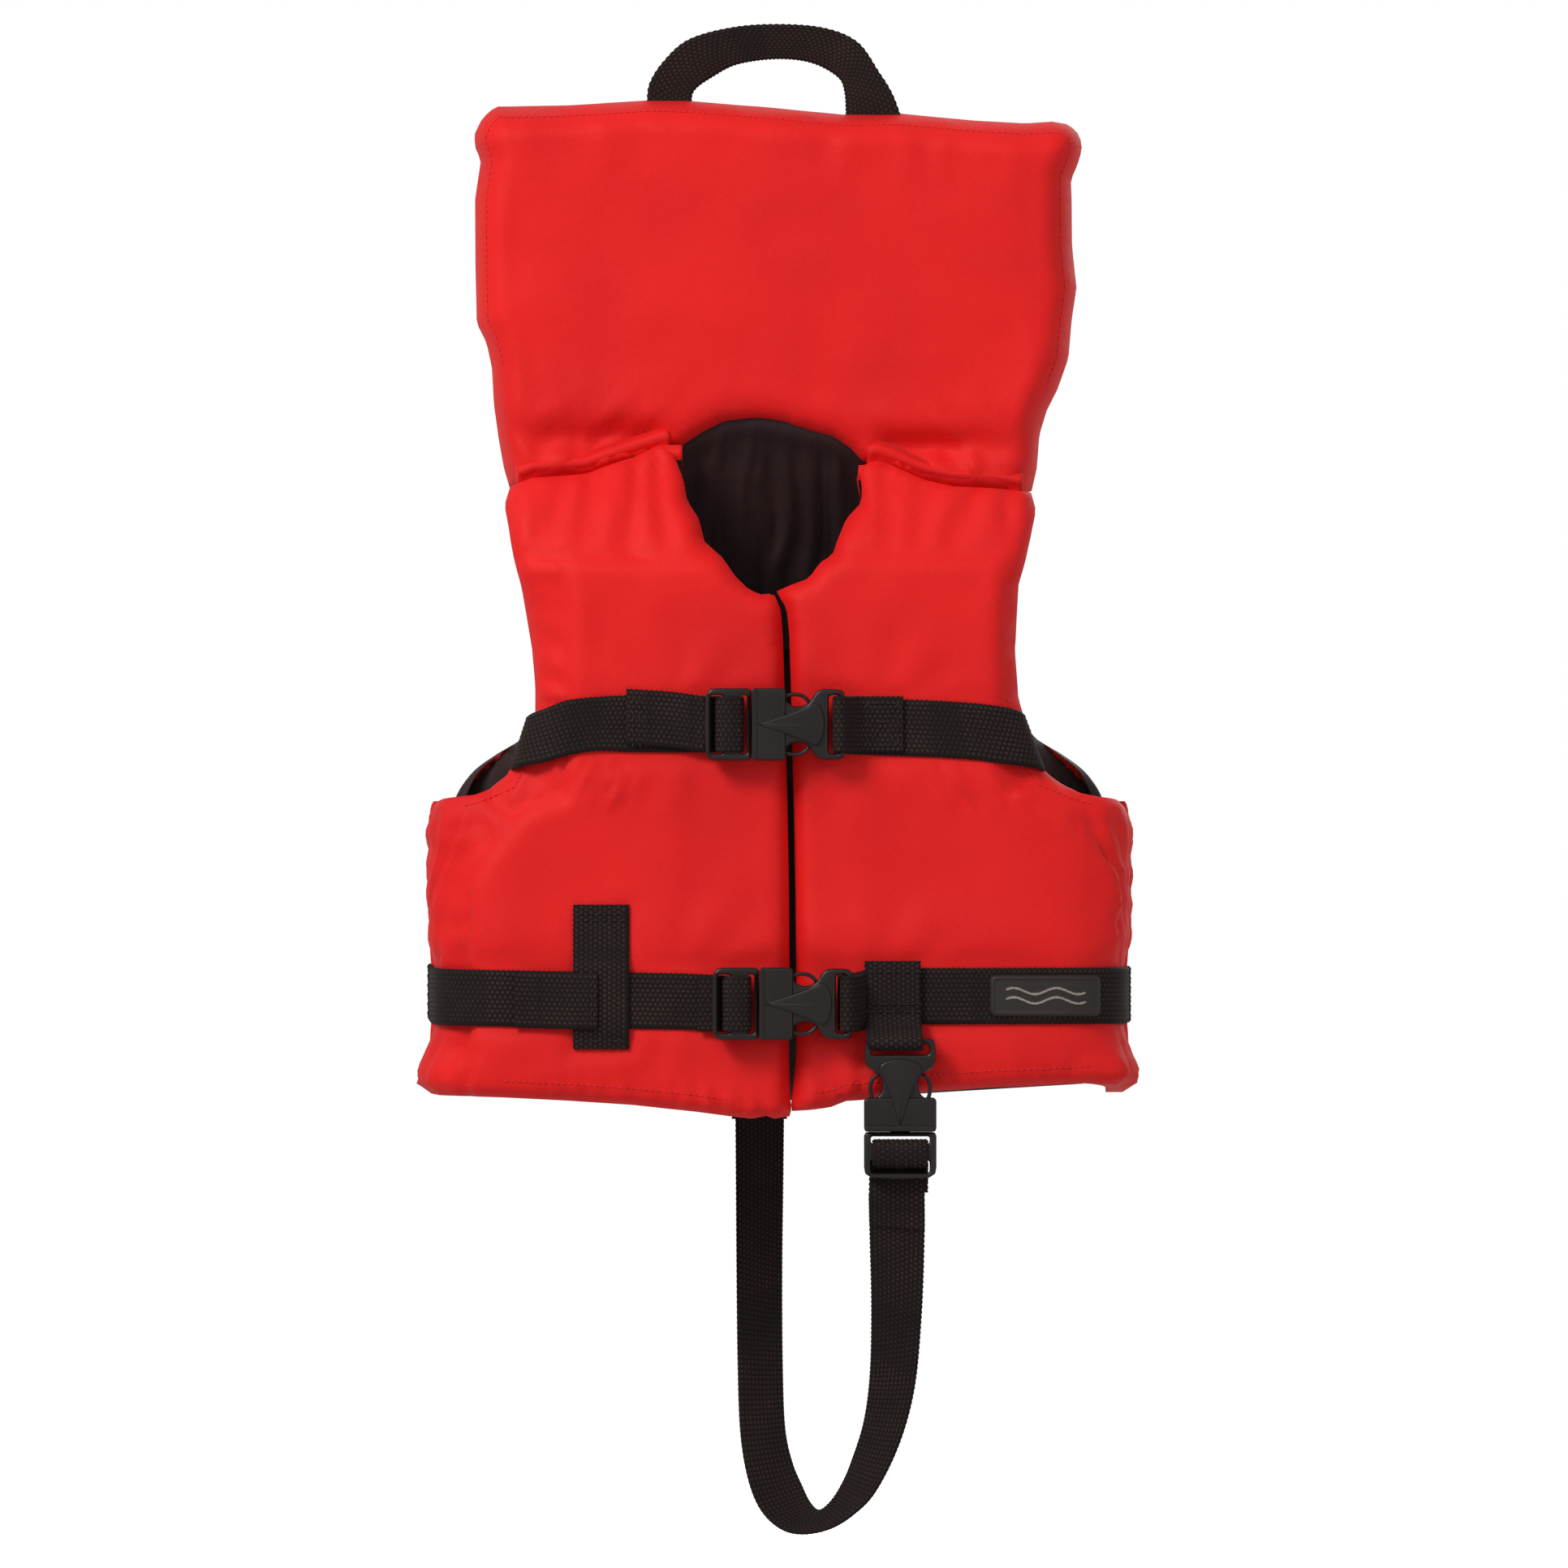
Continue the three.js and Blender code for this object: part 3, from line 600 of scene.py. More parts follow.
FRONT = plan_curve([(0, -66), (100, -66), (122, -65.8), (134, -64.6), (143, -61.5), (150, -56), (154.6, -48.5), (157.2, -38), (158.3, -22), (158.6, -4), (158.6, 20), (158.6, 48)])
BACKC = plan_curve([(0, 76), (104, 76), (122, 75.5), (136, 73), (147, 68), (153.6, 61.5), (157.2, 54.5), (158.6, 48.4)])
FRONT_LEN, BACK_LEN = float(FRONT[0][-1]), float(BACKC[0][-1])

def on_plan(curve, s, front):
    L, P, T = curve
    a, sg = np.abs(s), np.where(np.asarray(s) < 0, -1.0, 1.0)
    x, y = np.interp(a, L, P[:, 0]), np.interp(a, L, P[:, 1])
    tx, ty = np.interp(a, L, T[:, 0]), np.interp(a, L, T[:, 1])
    nx, ny = (ty, -tx) if front else (-ty, tx)
    return x * sg, y, nx * sg, ny

def s_of_x(curve, x):
    L, P, T = curve
    k = np.argmax(P[:, 0])
    return np.sign(x) * np.interp(abs(x), P[:k + 1, 0], L[:k + 1])

# ------------------------------------------------------------------ padded panels
def triangulate(outline, step, keep_corners=False):
    """(points, triangles, number of boundary points): boundary first"""
    B = resample(outline, step=step, closed=True)
    lo, hi = B.min(0), B.max(0)
    gx = np.arange(lo[0], hi[0] + step, step)
    gy = np.arange(lo[1], hi[1] + step, step * 0.866)
    X, Y = np.meshgrid(gx, gy)
    X = X + (np.arange(len(gy)) % 2)[:, None] * step / 2
    G = np.stack([X.ravel(), Y.ravel()], 1)
    G = G[inside(G, B)]
    G = G[seg_dist(G, B, True) > 0.62 * step]
    allp = np.concatenate([B, G])
    nb = len(B)
    edges = [(i, (i + 1) % nb) for i in range(nb)]
    v, e, f, ov, oe, of_ = delaunay_2d_cdt([Vector(p) for p in allp], edges, [], 1, 1e-6)
    index = {}
    P = np.array([list(p) for p in v])
    order = {i: (ov[i][0] if ov[i] else -1) for i in range(len(v))}
    # back to our own order: boundary first
    pos = {}
    for i, o_ in order.items():
        pos[o_] = i
    tri = []
    inv = {i: o_ for i, o_ in order.items()}
    for t in f:
        if all(inv[k] >= 0 for k in t):
            tri.append([inv[k] for k in t])
    return allp, np.array(tri), nb

def pad(name, outline, step, outer, inner, mats, wall=4, black_wall=None):
    """closed pad: outer(P) and inner(P) give 3-D points in mm for the pattern points P"""
    P, tri, nb = triangulate(outline, step)
    O, I = outer(P), inner(P)
    n = len(P)
    V = [O, I]
    rings = []
    outdir = O[:nb] - O[:nb].mean(0)
    # outward direction in the surface at the boundary
    prev, nxt = np.roll(O[:nb], 1, 0), np.roll(O[:nb], -1, 0)
    tang = nxt - prev
    thick = O[:nb] - I[:nb]
    side = np.cross(tang, thick)
    side /= np.linalg.norm(side, axis=1)[:, None] + 1e-9
    area = 0.5 * np.sum(P[:nb, 0] * np.roll(P[:nb, 1], -1) - np.roll(P[:nb, 0], -1) * P[:nb, 1])
    for k in range(1, wall):
        f = k / wall
        rings.append(len(np.concatenate(V)))
        V.append(O[:nb] * (1 - f) + I[:nb] * f)
    V = np.concatenate(V)
    F, M = [], []
    for a, b, c in tri:
        F.append([a, b, c]); M.append(0)
    for a, b, c in tri:
        F.append([n + a, n + c, n + b]); M.append(1)
    loops = [list(range(nb))] + [[r + i for i in range(nb)] for r in rings] + [[n + i for i in range(nb)]]
    for la, lb in zip(loops[:-1], loops[1:]):
        for i in range(nb):
            j = (i + 1) % nb
            F.append([la[i], la[j], lb[j], lb[i]]); M.append(1 if black_wall is not None and black_wall[i] else 0)
    o = make(name, V, F, mats, M)
    outward(o)
    return o, P, nb

def relax(o, V0, rounds, weight):
    """laplacian smoothing of a mesh's points, weight per point"""
    me = o.data
    E = np.zeros(len(me.edges) * 2, np.int64); me.edges.foreach_get("vertices", E)
    E = E.reshape(-1, 2)
    V = V0.copy()
    deg = np.bincount(E.ravel(), minlength=len(V)).astype(float)[:, None]
    for _ in range(rounds):
        S = np.zeros_like(V)
        np.add.at(S, E[:, 0], V[E[:, 1]]); np.add.at(S, E[:, 1], V[E[:, 0]])
        V = V + weight * (S / np.maximum(deg, 1) - V)
    return V

def cloth(o, hold, frames=18, pressure=1.2, shrink=-0.03, cap=6.0, bend=0.4, gravity=0.0, stiff=15.0):
    """lets the cover billow and wrinkle: hold is 0..1 per point, how firmly foam and seams hold it"""
    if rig.quick():
        return
    V0 = coords(o)
    g = o.vertex_groups.new(name="hold")
    w = np.round(np.clip(hold, 0, 1), 2)
    for val in np.unique(w):
        if val > 0:
            g.add([int(i) for i in np.nonzero(w == val)[0]], float(val), 'REPLACE')
    m = o.modifiers.new("cloth", 'CLOTH')
    st = m.settings
    st.quality = 6
    st.mass = 0.15
    st.tension_stiffness = stiff; st.compression_stiffness = stiff; st.shear_stiffness = stiff / 3; st.bending_stiffness = bend
    st.tension_damping = 8; st.compression_damping = 8; st.shear_damping = 8; st.bending_damping = 1
    st.air_damping = 4
    st.use_pressure = pressure != 0
    st.uniform_pressure_force = pressure
    st.shrink_min = shrink
    st.vertex_group_mass = "hold"
    st.pin_stiffness = 1.0
    st.effector_weights.gravity = gravity
    m.collision_settings.use_self_collision = False
    m.collision_settings.use_collision = False
    m.point_cache.frame_start, m.point_cache.frame_end = 1, frames + 1
    for f in range(1, frames + 1):
        scene.frame_set(f)
    dg = bpy.context.evaluated_depsgraph_get()
    e = o.evaluated_get(dg)
    co = np.zeros(len(e.data.vertices) * 3); e.data.vertices.foreach_get("co", co)
    V = co.reshape(-1, 3) / MM
    o.modifiers.clear()
    o.vertex_groups.clear()
    scene.frame_set(1)
    D = V - V0
    if not np.isfinite(D).all():
        D = np.nan_to_num(D)
    D = relax(o, D, 5, 0.5)
    l = np.linalg.norm(D, axis=1)[:, None]
    D = D * np.minimum(1, cap / np.maximum(l, 1e-9))
    set_coords(o, V0 + D)

UPPER_Z, LOWER_Z = -302.4, -428.9
BELT_L, BELT_R = LOWER_Z + 4.6, LOWER_Z + 3.8

LEFT_EDGE = [(-2.6, -242.8), (0.6, -250), (1.6, -262), (2.4, -286.8), (3.2, -319.9), (3.8, -341.9), (4.4, -378.7), (4.6, -415.4), (4.4, -452), (5.0, -470), (5.6, -479.8)]
RIGHT_EDGE = [(-1.2, -242.2), (3.4, -250), (4.6, -262), (5.4, -286.8), (6.2, -319.9), (6.8, -341.9), (7.4, -378.7), (7.8, -415.4), (7.9, -452), (6.2, -468), (5.0, -477.6)]
LEFT_NECK = [(-53.6, -175.0), (-47.6, -180.5), (-43.4, -191.5), (-41.8, -200.5), (-36.4, -209.2), (-33.8, -219.5), (-25.6, -227.0), (-20.2, -235.0), (-13.5, -241.5), (-7.5, -243.8), (-2.6, -242.8)]
RIGHT_NECK = [(38.6, -184.2), (36.8, -188), (37.7, -198), (36.6, -202.4), (30.4, -209.2), (26.8, -218.2), (24.3, -225.5), (18.4, -229.2), (13.6, -236.2), (4.4, -239.6), (-1.2, -242.2)]
LEFT_TOP = [(-122.5, -194.6), (-112.1, -190.6), (-101.1, -189.8), (-87.9, -188.7), (-78.3, -185.0), (-65.8, -181.0), (-53.6, -175.0)]
RIGHT_TOP = [(114.5, -197.2), (96.0, -195.2), (78.7, -194.4), (65.1, -191.2), (52, -185.2), (45, -182.6), (38.6, -184.2)]
LEFT_ARM = [(-122.5, -194.6), (-125.2, -203), (-121.4, -223.9), (-117.5, -239), (-114.9, -253.7), (-112.3, -268.4), (-110.8, -285), (-110.8, -297), (-113, -306), (-117.6, -316.2), (-125, -325.6), (-134, -331.8), (-143, -334.2), (-151, -335)]
RIGHT_ARM = [(114.5, -197.2), (116.8, -205.5), (111.9, -227.2), (108.6, -239), (107, -268.4), (108.5, -290.4), (110.7, -297.8), (115.8, -316.2), (121.6, -324), (131, -330.1), (142, -333.5), (150.5, -335)]
LEFT_HEM = [(-150.7, -470.6), (-125, -471.4), (-95.6, -472.8), (-66, -474.8), (-37.5, -477.9), (-20.6, -480.1), (-11, -481.1), (-6.4, -479.4), (-2.6, -481.0), (5.6, -479.8)]
RIGHT_HEM = [(150.5, -465.4), (140.8, -464.9), (95.6, -466.9), (68.4, -468.6), (39.3, -472.4), (30, -473.0), (23.5, -475.7), (15, -477.0), (5.0, -477.6)]
FOAM_L = [(-96, -226.5), (-60, -228), (-30, -227), (20, -236), (20, -500), (-142, -500), (-141.5, -374), (-133, -361), (-117.6, -342), (-98, -334), (-96, -300)]
FOAM_R = [(102.4, -225), (60, -226), (34, -225), (-20, -240), (-20, -500), (153.5, -500), (153.4, -370), (142.8, -354.5), (131.6, -343), (117, -335.5), (104.5, -321), (103, -290)]

def edge_round(d, R, H):
    t = np.clip(d / R, 0, 1)
    return -H * (1 - np.sqrt(np.maximum(0, 1 - (1 - t) ** 2)))

def front_surface(side):
    sg = -1 if side == 'left' else 1
    arm, neck, top, hem, cen, foam = ((LEFT_ARM, LEFT_NECK, LEFT_TOP, LEFT_HEM, LEFT_EDGE, FOAM_L) if sg < 0 else (RIGHT_ARM, RIGHT_NECK, RIGHT_TOP, RIGHT_HEM, RIGHT_EDGE, FOAM_R))
    S = lambda pts: np.array([(s_of_x(FRONT, x), z) for x, z in pts])
    arm_s = np.concatenate([S(arm), [(sg * 172, -336.6), (sg * 200, -338), (sg * FRONT_LEN, -338.5)]])
    seam_s = np.array([(sg * FRONT_LEN, -338.5), (sg * FRONT_LEN, -468)])
    hem_s = np.concatenate([[(sg * FRONT_LEN, -468), (sg * 215, -469.5), (sg * 178, -470.2 if sg < 0 else -467)], S(hem)])
    top_s, neck_s, cen_s, foam_s = S(top), S(neck), S(cen), S(foam)
    outline = np.concatenate([arm_s, seam_s[1:], hem_s[1:], cen_s[::-1][1:], neck_s[::-1][1:], top_s[::-1][1:-1]])
    belt_z = BELT_L if sg < 0 else BELT_R
    seed = 20 if sg < 0 else 60

    def fields(P):
        d_arm, d_hem, d_cen, d_neck = seg_dist(P, arm_s), seg_dist(P, hem_s), seg_dist(P, cen_s), seg_dist(P, neck_s)
        f = signed(P, foam_s)
        return d_arm, d_hem, d_cen, d_neck, f

    def outer(P):
        s, z = P[:, 0], P[:, 1]
        a = np.abs(s)
        d_arm, d_hem, d_cen, d_neck, f = fields(P)
        x, y, nx, ny = on_plan(FRONT, s, True)
        chest = 1 - smooth(118, 150, a)
        h = np.zeros(len(P))
        # foam face: rounded shoulders at the foam's own edge
        ridge = edge_round(np.maximum(f, 0), 9, 5.0)
        tf = 1 - 0.5 * smooth(-252, -236, z)
        h += tf * np.where(f > 0, ridge, -5.0 - 7.0 * smooth(0, 18, -f) * chest - 2.2 * smooth(0, 10, -f) * (1 - chest))
        h += 6.6 * smooth(142, 172, a)
        h += edge_round(d_arm, 12, 9) * (0.35 + 0.65 * chest)
        h += edge_round(d_cen, 8.5, 9) + edge_round(d_neck, 9, 8) * smooth(-178, -205, z)
        h += edge_round(d_hem, 8, 7)
        # belts pinch the cover
        near = np.exp(-((z - belt_z) / 15.0) ** 2)
        h -= 3.8 * near * smooth(128, 152, a)
        h += 5.2 * smooth(-449, -463, z) * smooth(128, 156, a) * (1 - smooth(200, 250, a))
        h -= 0.9 * near * (1 - smooth(120, 150, a)) + 0.9 * np.exp(-((z - UPPER_Z) / 15.0) ** 2) * (a < 120)
        h += 0.9 * np.exp(-((z - belt_z - 27) / 12.0) ** 2) * (a < 150) + 0.8 * np.exp(-((z - belt_z + 25) / 10.0) ** 2)
        # soft unevenness of the foam face
        h += 1.25 * vnoise(s / 46, z / 52, seed) * smooth(2, 20, f) + 0.5 * vnoise(s / 17, z / 22, seed + 1)
        # slack shoulder fabric: upright folds
        sh = smooth(-229, -214, z) * smooth(2, 12, d_arm + 3)
        h += sh * (2.6 * folds(s * sg, z, 17, 60, seed + 2) + 0.8 * folds(s, z, 8, 30, seed + 5))
        # margin outside the foam, down to the armhole
        mg = smooth(-1, 5, -f) * chest * (z < -225)
        h += mg * 2.7 * folds(z + 0.25 * s, s, 19, 40, seed + 8)
        # puckers under the chest belt's outer end
        pk = smooth(-316, -322, z) * (1 - smooth(-334, -343, z)) * smooth(60, 78, a) * (1 - smooth(118, 130, a))
        h += pk * 3.1 * folds(s * sg + 0.55 * z, z, 7.5, 22, seed + 12)
        # loose side panel: upright folds beside the foam's ridge
        sd = (1 - smooth(-1, 9, f)) * smooth(120, 140, a) * smooth(-338, -350, z)
        h += sd * (2.1 * folds(s * sg + 0.4 * z, z, 15, 60, seed + 15) + 0.9 * folds(z, s, 15, 30, seed + 16)) * (1 - 0.75 * near)
        # gathers at the hem
        gt = 1 - smooth(3, 17, d_hem)
        h += gt * (1.25 + 1.2 * (1 - smooth(30, 90, a))) * folds(s, z, 9.5, 40, seed + 18) * smooth(0, 4, d_hem + 1)
        # stitched line along the hem and the armhole
        h -= 0.9 * np.exp(-((d_hem - 7.5) / 1.3) ** 2) + 0.7 * np.exp(-((d_arm - 5.5) / 1.2) ** 2) * chest
        # slightly taut creases that run to the buckles
        for bz, bx in ((UPPER_Z, 45), (belt_z, 45)):
            r = np.hypot(a - bx, z - bz)
            th = np.arctan2(z - bz, a - bx)
            h += 0.45 * np.cos(th * 9 + seed) * np.exp(-((r - 34) / 16.0) ** 2)
        yoff = np.interp(z, [-480, -246, -232, -218, -208, -200, -192, -184, -174], [0, 0, 0.8, 5, 9.5, 15, 22, 28, 33])
        V = np.stack([x + nx * h, y + ny * h + yoff, z], 1)
        return V

    def inner(P):
        s, z = P[:, 0], P[:, 1]
        a = np.abs(s)
        d_arm, d_hem, d_cen, d_neck, f = fields(P)
        x, y, nx, ny = on_plan(FRONT, s, True)
        d_all = np.minimum(np.minimum(d_arm, d_hem), np.minimum(d_cen, d_neck))
        t = 40 - 28 * smooth(108, 146, a)
        t = t - (t - 12) * (1 - smooth(-12, 16, f)) * smooth(-236, -228, z) * 0.3
        t = t + edge_round(d_all, 11, 9)
        t = np.maximum(t, 13)
        t = np.where(a > 165, 10, t)
        t = np.where((a > 140) & (a <= 165), np.interp(a, [140, 165], [13.5, 10]), t)
        t = t + 0.5 * vnoise(s / 20, z / 26, seed + 30)
        yoff = np.interp(z, [-480, -246, -232, -218, -208, -200, -192, -184, -174], [0, 0, 0, -2, -6, -4, 6, 14, 20])
        tt = np.interp(z, [-230, -215, -200, -174], [1, 0.8, 0.5, 0.35])
        t = t * np.where(a < 140, tt, 1)
        y2 = y + ny * -t + yoff
        y2 = np.where(a < 140, np.minimum(y2, -24.5), y2)
        y2 = np.where(a < 140, np.maximum(y2, outer(P)[:, 1] + 5.5), y2)
        return np.stack([x - nx * t, y2, z], 1)
    return outline, outer, inner, fields

def press_under(o, P, curve, front, zones):
    """keeps the cover's outer side below the webbing that lies on it; zones give the free height at (s, z)"""
    V = coords(o)
    n = len(P)
    s, z = P[:, 0], P[:, 1]
    x, y, nx, ny = on_plan(curve, s, front)
    h = (V[:n, 0] - x) * nx + (V[:n, 1] - y) * ny
    lim = zones(s, z)
    over = np.maximum(0, h - lim)
    V[:n, 0] -= nx * over; V[:n, 1] -= ny * over
    set_coords(o, V)

def band(z, mid, half, soft=13.0, depth=-0.55):
    d = np.maximum(0, np.abs(z - mid) - half)
    return depth + 5.0 * (d / soft) ** 1.4 + (d > soft) * 50

def front_zones(side):
    def f(s, z):
        a = np.abs(s)
        bz = BELT_L if side == 'left' else BELT_R
        low = band(z, bz - 0.6, 14.2) - 1.3 * smooth(128, 152, a)
        up = np.where(a < 118, band(z, UPPER_Z - 3.0 * smooth(70, 112, a), 14.6) - 10 * smooth(95, 112, a), 99)
        lim = np.minimum(low, up)
        if side == 'left':
            k = np.maximum(np.maximum(0, np.abs(s + s_of_x(FRONT, 80.6)) - 14.2), np.maximum(0, np.abs(z + 416.5) - 34.2))
            lim = np.minimum(lim, -0.55 + 5.0 * (k / 10.0) ** 1.4 + (k > 10) * 50)
        else:
            k = np.maximum(np.maximum(0, np.abs(s - 53.4) - 14.2), np.maximum(0, np.abs(z + 431) - 22))
            lim = np.minimum(lim, -0.55 + 5.0 * (k / 10.0) ** 1.4 + (k > 10) * 50)
        return lim
    return f

PADS = {}
for side in ('left', 'right'):
    outline, outer, inner, fields = front_surface(side)
    o, P, nb = pad(f"{side}_front_pad", outline, 3.6, outer, inner, [RED, BLACK])
    n = len(P)
    d_arm, d_hem, d_cen, d_neck, f = fields(P)
    s_, z_ = P[:, 0], P[:, 1]
    hold = 0.35 + 0.35 * smooth(0, 14, f)
    hold = np.where(np.minimum(np.minimum(d_arm, d_hem), np.minimum(d_cen, d_neck)) < 4, 0.95, hold)
    hold = np.where(z_ > -226, 0.12, hold)
    hold = np.where(np.abs(s_) > 250, 1, hold)
    bz = BELT_L if side == 'left' else BELT_R
    hold = np.maximum(hold, 0.95 * np.exp(-((z_ - bz) / 13.0) ** 2))
    hold = np.maximum(hold, 0.9 * np.exp(-((z_ - UPPER_Z) / 13.0) ** 2) * (np.abs(s_) < 116))
    full = np.concatenate([hold, np.ones(len(P)), np.full(len(o.data.vertices) - 2 * n, 0.9)])
    full[:nb] = 1
    cloth(o, full, frames=14, pressure=0.5, shrink=-0.012, cap=3.5, bend=0.5)
    press_under(o, P, FRONT, True, front_zones(side))
    PADS[side] = o

# back pad
def back_surface():
    S = lambda pts: [(s_of_x(BACKC, x), z) for x, z in pts]
    half = [(0, -198.5), (60, -198.5), (112, -199.5), (111, -212), (107.5, -234), (104.5, -262), (105.5, -288), (112, -303), (118, -309.5), (126, -316), (134, -322), (142, -327.5), (149.5, -333)]
    S0 = S
    S = lambda pts: [(s + np.sign(s) * 9.0 * float(smooth(112, 138, abs(x))), z) for (s, z), (x, _) in zip(S0(pts), pts)]
    right = S(half) + [(BACK_LEN, -338.5), (BACK_LEN, -463.0), (BACK_LEN - 14, -465)] + S0([(140, -466), (110, -467.5), (60, -470.5), (0, -473.5)])
    left = [(-a, b) for a, b in right[1:-1]][::-1]
    outline = np.array(right + left)
    arm_r = np.array(S(half[2:]) + [(BACK_LEN, -338.5)]); arm_l = arm_r * [-1, 1]
    hem_r = np.array(right[len(half) + 1:]); hem_l = hem_r * [-1, 1]
    foam = np.array([(-98, -226), (98, -226), (101, -318), (117, -337), (141, -350), (144, -362), (144, -500), (-144, -500), (-144, -362), (-141, -350), (-117, -337), (-101, -318)])
    ylean = lambda z: np.interp(z, [-481, -305, -275, -240, -205, -196], [0, 0, -2.5, -12, -30, -32])
    def parts(P):
        return np.minimum(seg_dist(P, arm_r), seg_dist(P, arm_l)), np.minimum(seg_dist(P, hem_r), seg_dist(P, hem_l)), signed(P, foam)
    def outer(P):
        s, z = P[:, 0], P[:, 1]; a = np.abs(s)
        da, dh, f = parts(P)
        x, y, nx, ny = on_plan(BACKC, s, False)
        h = np.where(f > 0, edge_round(np.maximum(f, 0), 12, 5), -5 - 3 * smooth(0, 14, -f))
        h += edge_round(da, 11, 8) + edge_round(dh, 8, 7)
        bz = LOWER_Z + 4
        near = np.exp(-((z - bz) / 15.0) ** 2)
        h -= 3.0 * near * smooth(120, 140, a) + 1.0 * near
        h += 1.0 * vnoise(s / 48, z / 50, 101) + 0.35 * vnoise(s / 17, z / 20, 102)
        sh = smooth(-230, -214, z)
        h += sh * (2.2 * folds(s, z, 19, 60, 104) + 0.7 * folds(s, z, 8, 30, 105))
        sd = smooth(118, 134, a) * smooth(-338, -350, z)
        h += sd * 1.2 * folds(s, z, 12, 50, 106) * (1 - 0.7 * near)
        h += (1 - smooth(3, 16, dh)) * 1.0 * folds(s, z, 10, 40, 107)
        h -= 0.9 * np.exp(-((dh - 7.5) / 1.3) ** 2) + 0.7 * np.exp(-((da - 5.5) / 1.2) ** 2)
        # vertical channel seam down the middle of the back
        h -= 2.4 * np.exp(-(s / 2.6) ** 2) * smooth(-226, -240, z)
        return np.stack([x + nx * h, y + ny * h + ylean(z), z], 1)
    def inner(P):
        s, z = P[:, 0], P[:, 1]; a = np.abs(s)
        da, dh, f = parts(P)
        x, y, nx, ny = on_plan(BACKC, s, False)
        t = 31 - 19 * smooth(110, 142, a)
        t = t - (t - 12) * (1 - smooth(-10, 14, f)) * smooth(-238, -228, z) * 0.4
        t = t + edge_round(np.minimum(da, dh), 10, 8)
        t = np.maximum(t, 11)
        t = t * np.interp(z, [-238, -220, -198], [1, 0.7, 0.45])
        t += 1.6 * folds(s, z, 22, 80, 111) * smooth(-330, -250, z) + 0.6 * vnoise(s / 18, z / 24, 112)
        return np.stack([x - nx * t, y - ny * t + ylean(z), z], 1)
    return outline, outer, inner, parts

outline, outer, inner, parts = back_surface()
rim = resample(outline, step=4.2, closed=True)
back_pad, P, nb = pad("back_pad", outline, 4.2, outer, inner, [RED, BLACK], black_wall=(np.abs(rim[:, 0]) > 104) & (rim[:, 1] > -339) & (rim[:, 1] < -206))
n = len(P)
da, dh, f = parts(P)
hold = np.where(np.minimum(da, dh) < 4, 0.95, 0.35 + 0.35 * smooth(0, 14, f))
hold = np.where(P[:, 1] > -226, 0.15, hold)
hold = np.maximum(hold, 0.95 * np.exp(-((P[:, 1] - LOWER_Z - 4) / 13.0) ** 2))
full = np.concatenate([hold, np.full(n, 0.8), np.full(len(back_pad.data.vertices) - 2 * n, 0.95)]); full[:nb] = 1
cloth(back_pad, full, frames=14, pressure=0.5, shrink=-0.012, cap=3.5, bend=0.5)

press_under(back_pad, P, BACKC, False, lambda s, z: band(z, LOWER_Z + 4, 14.2) - 1.0 * smooth(120, 140, np.abs(s)))

# ------------------------------------------------------------------ head collar
COLLAR_SIDE = [(-122.5, -194.6), (-125.0, -186), (-127.5, -172), (-129.6, -157), (-130.6, -140), (-133.0, -129), (-137.4, -120), (-138.0, -95), (-138.2, -64), (-136.6, -53), (-135.6, -46), (-138.4, -39.5), (-138.2, -33.5), (-134.6, -26.6), (-128.8, -21.6), (-123, -21.6), (-95.6, -21.0), (-58.8, -18.8), (-39.7, -19.2), (-3.7, -22.1), (29.4, -25.3), (55.1, -24.8), (88.2, -27.9), (112, -29.2), (124, -28.4), (131.8, -29.8), (136.6, -34.8), (137.6, -41), (135.6, -48.0), (132.6, -55), (132.9, -62), (133.1, -84.6), (135.1, -104), (133.0, -118), (131.4, -136), (126.5, -150), (121.5, -160), (118.2, -171), (117.0, -186), (114.5, -197.2)]
ARC = [(114.5, -197.2), (96.0, -194.8), (78.7, -194.0), (65.1, -190.8), (52, -184.8), (45, -182.2), (38.6, -183.8), (33, -177.5), (24.6, -171.7), (12, -168.4), (0.0, -165.3), (-10.7, -163.8), (-24.6, -165.3), (-34.2, -169.2), (-44.5, -176.0), (-53.6, -176.6), (-65.8, -180.7), (-78.3, -184.8), (-87.9, -188.4), (-101.1, -189.5), (-112.1, -190.3), (-122.5, -194.6)]
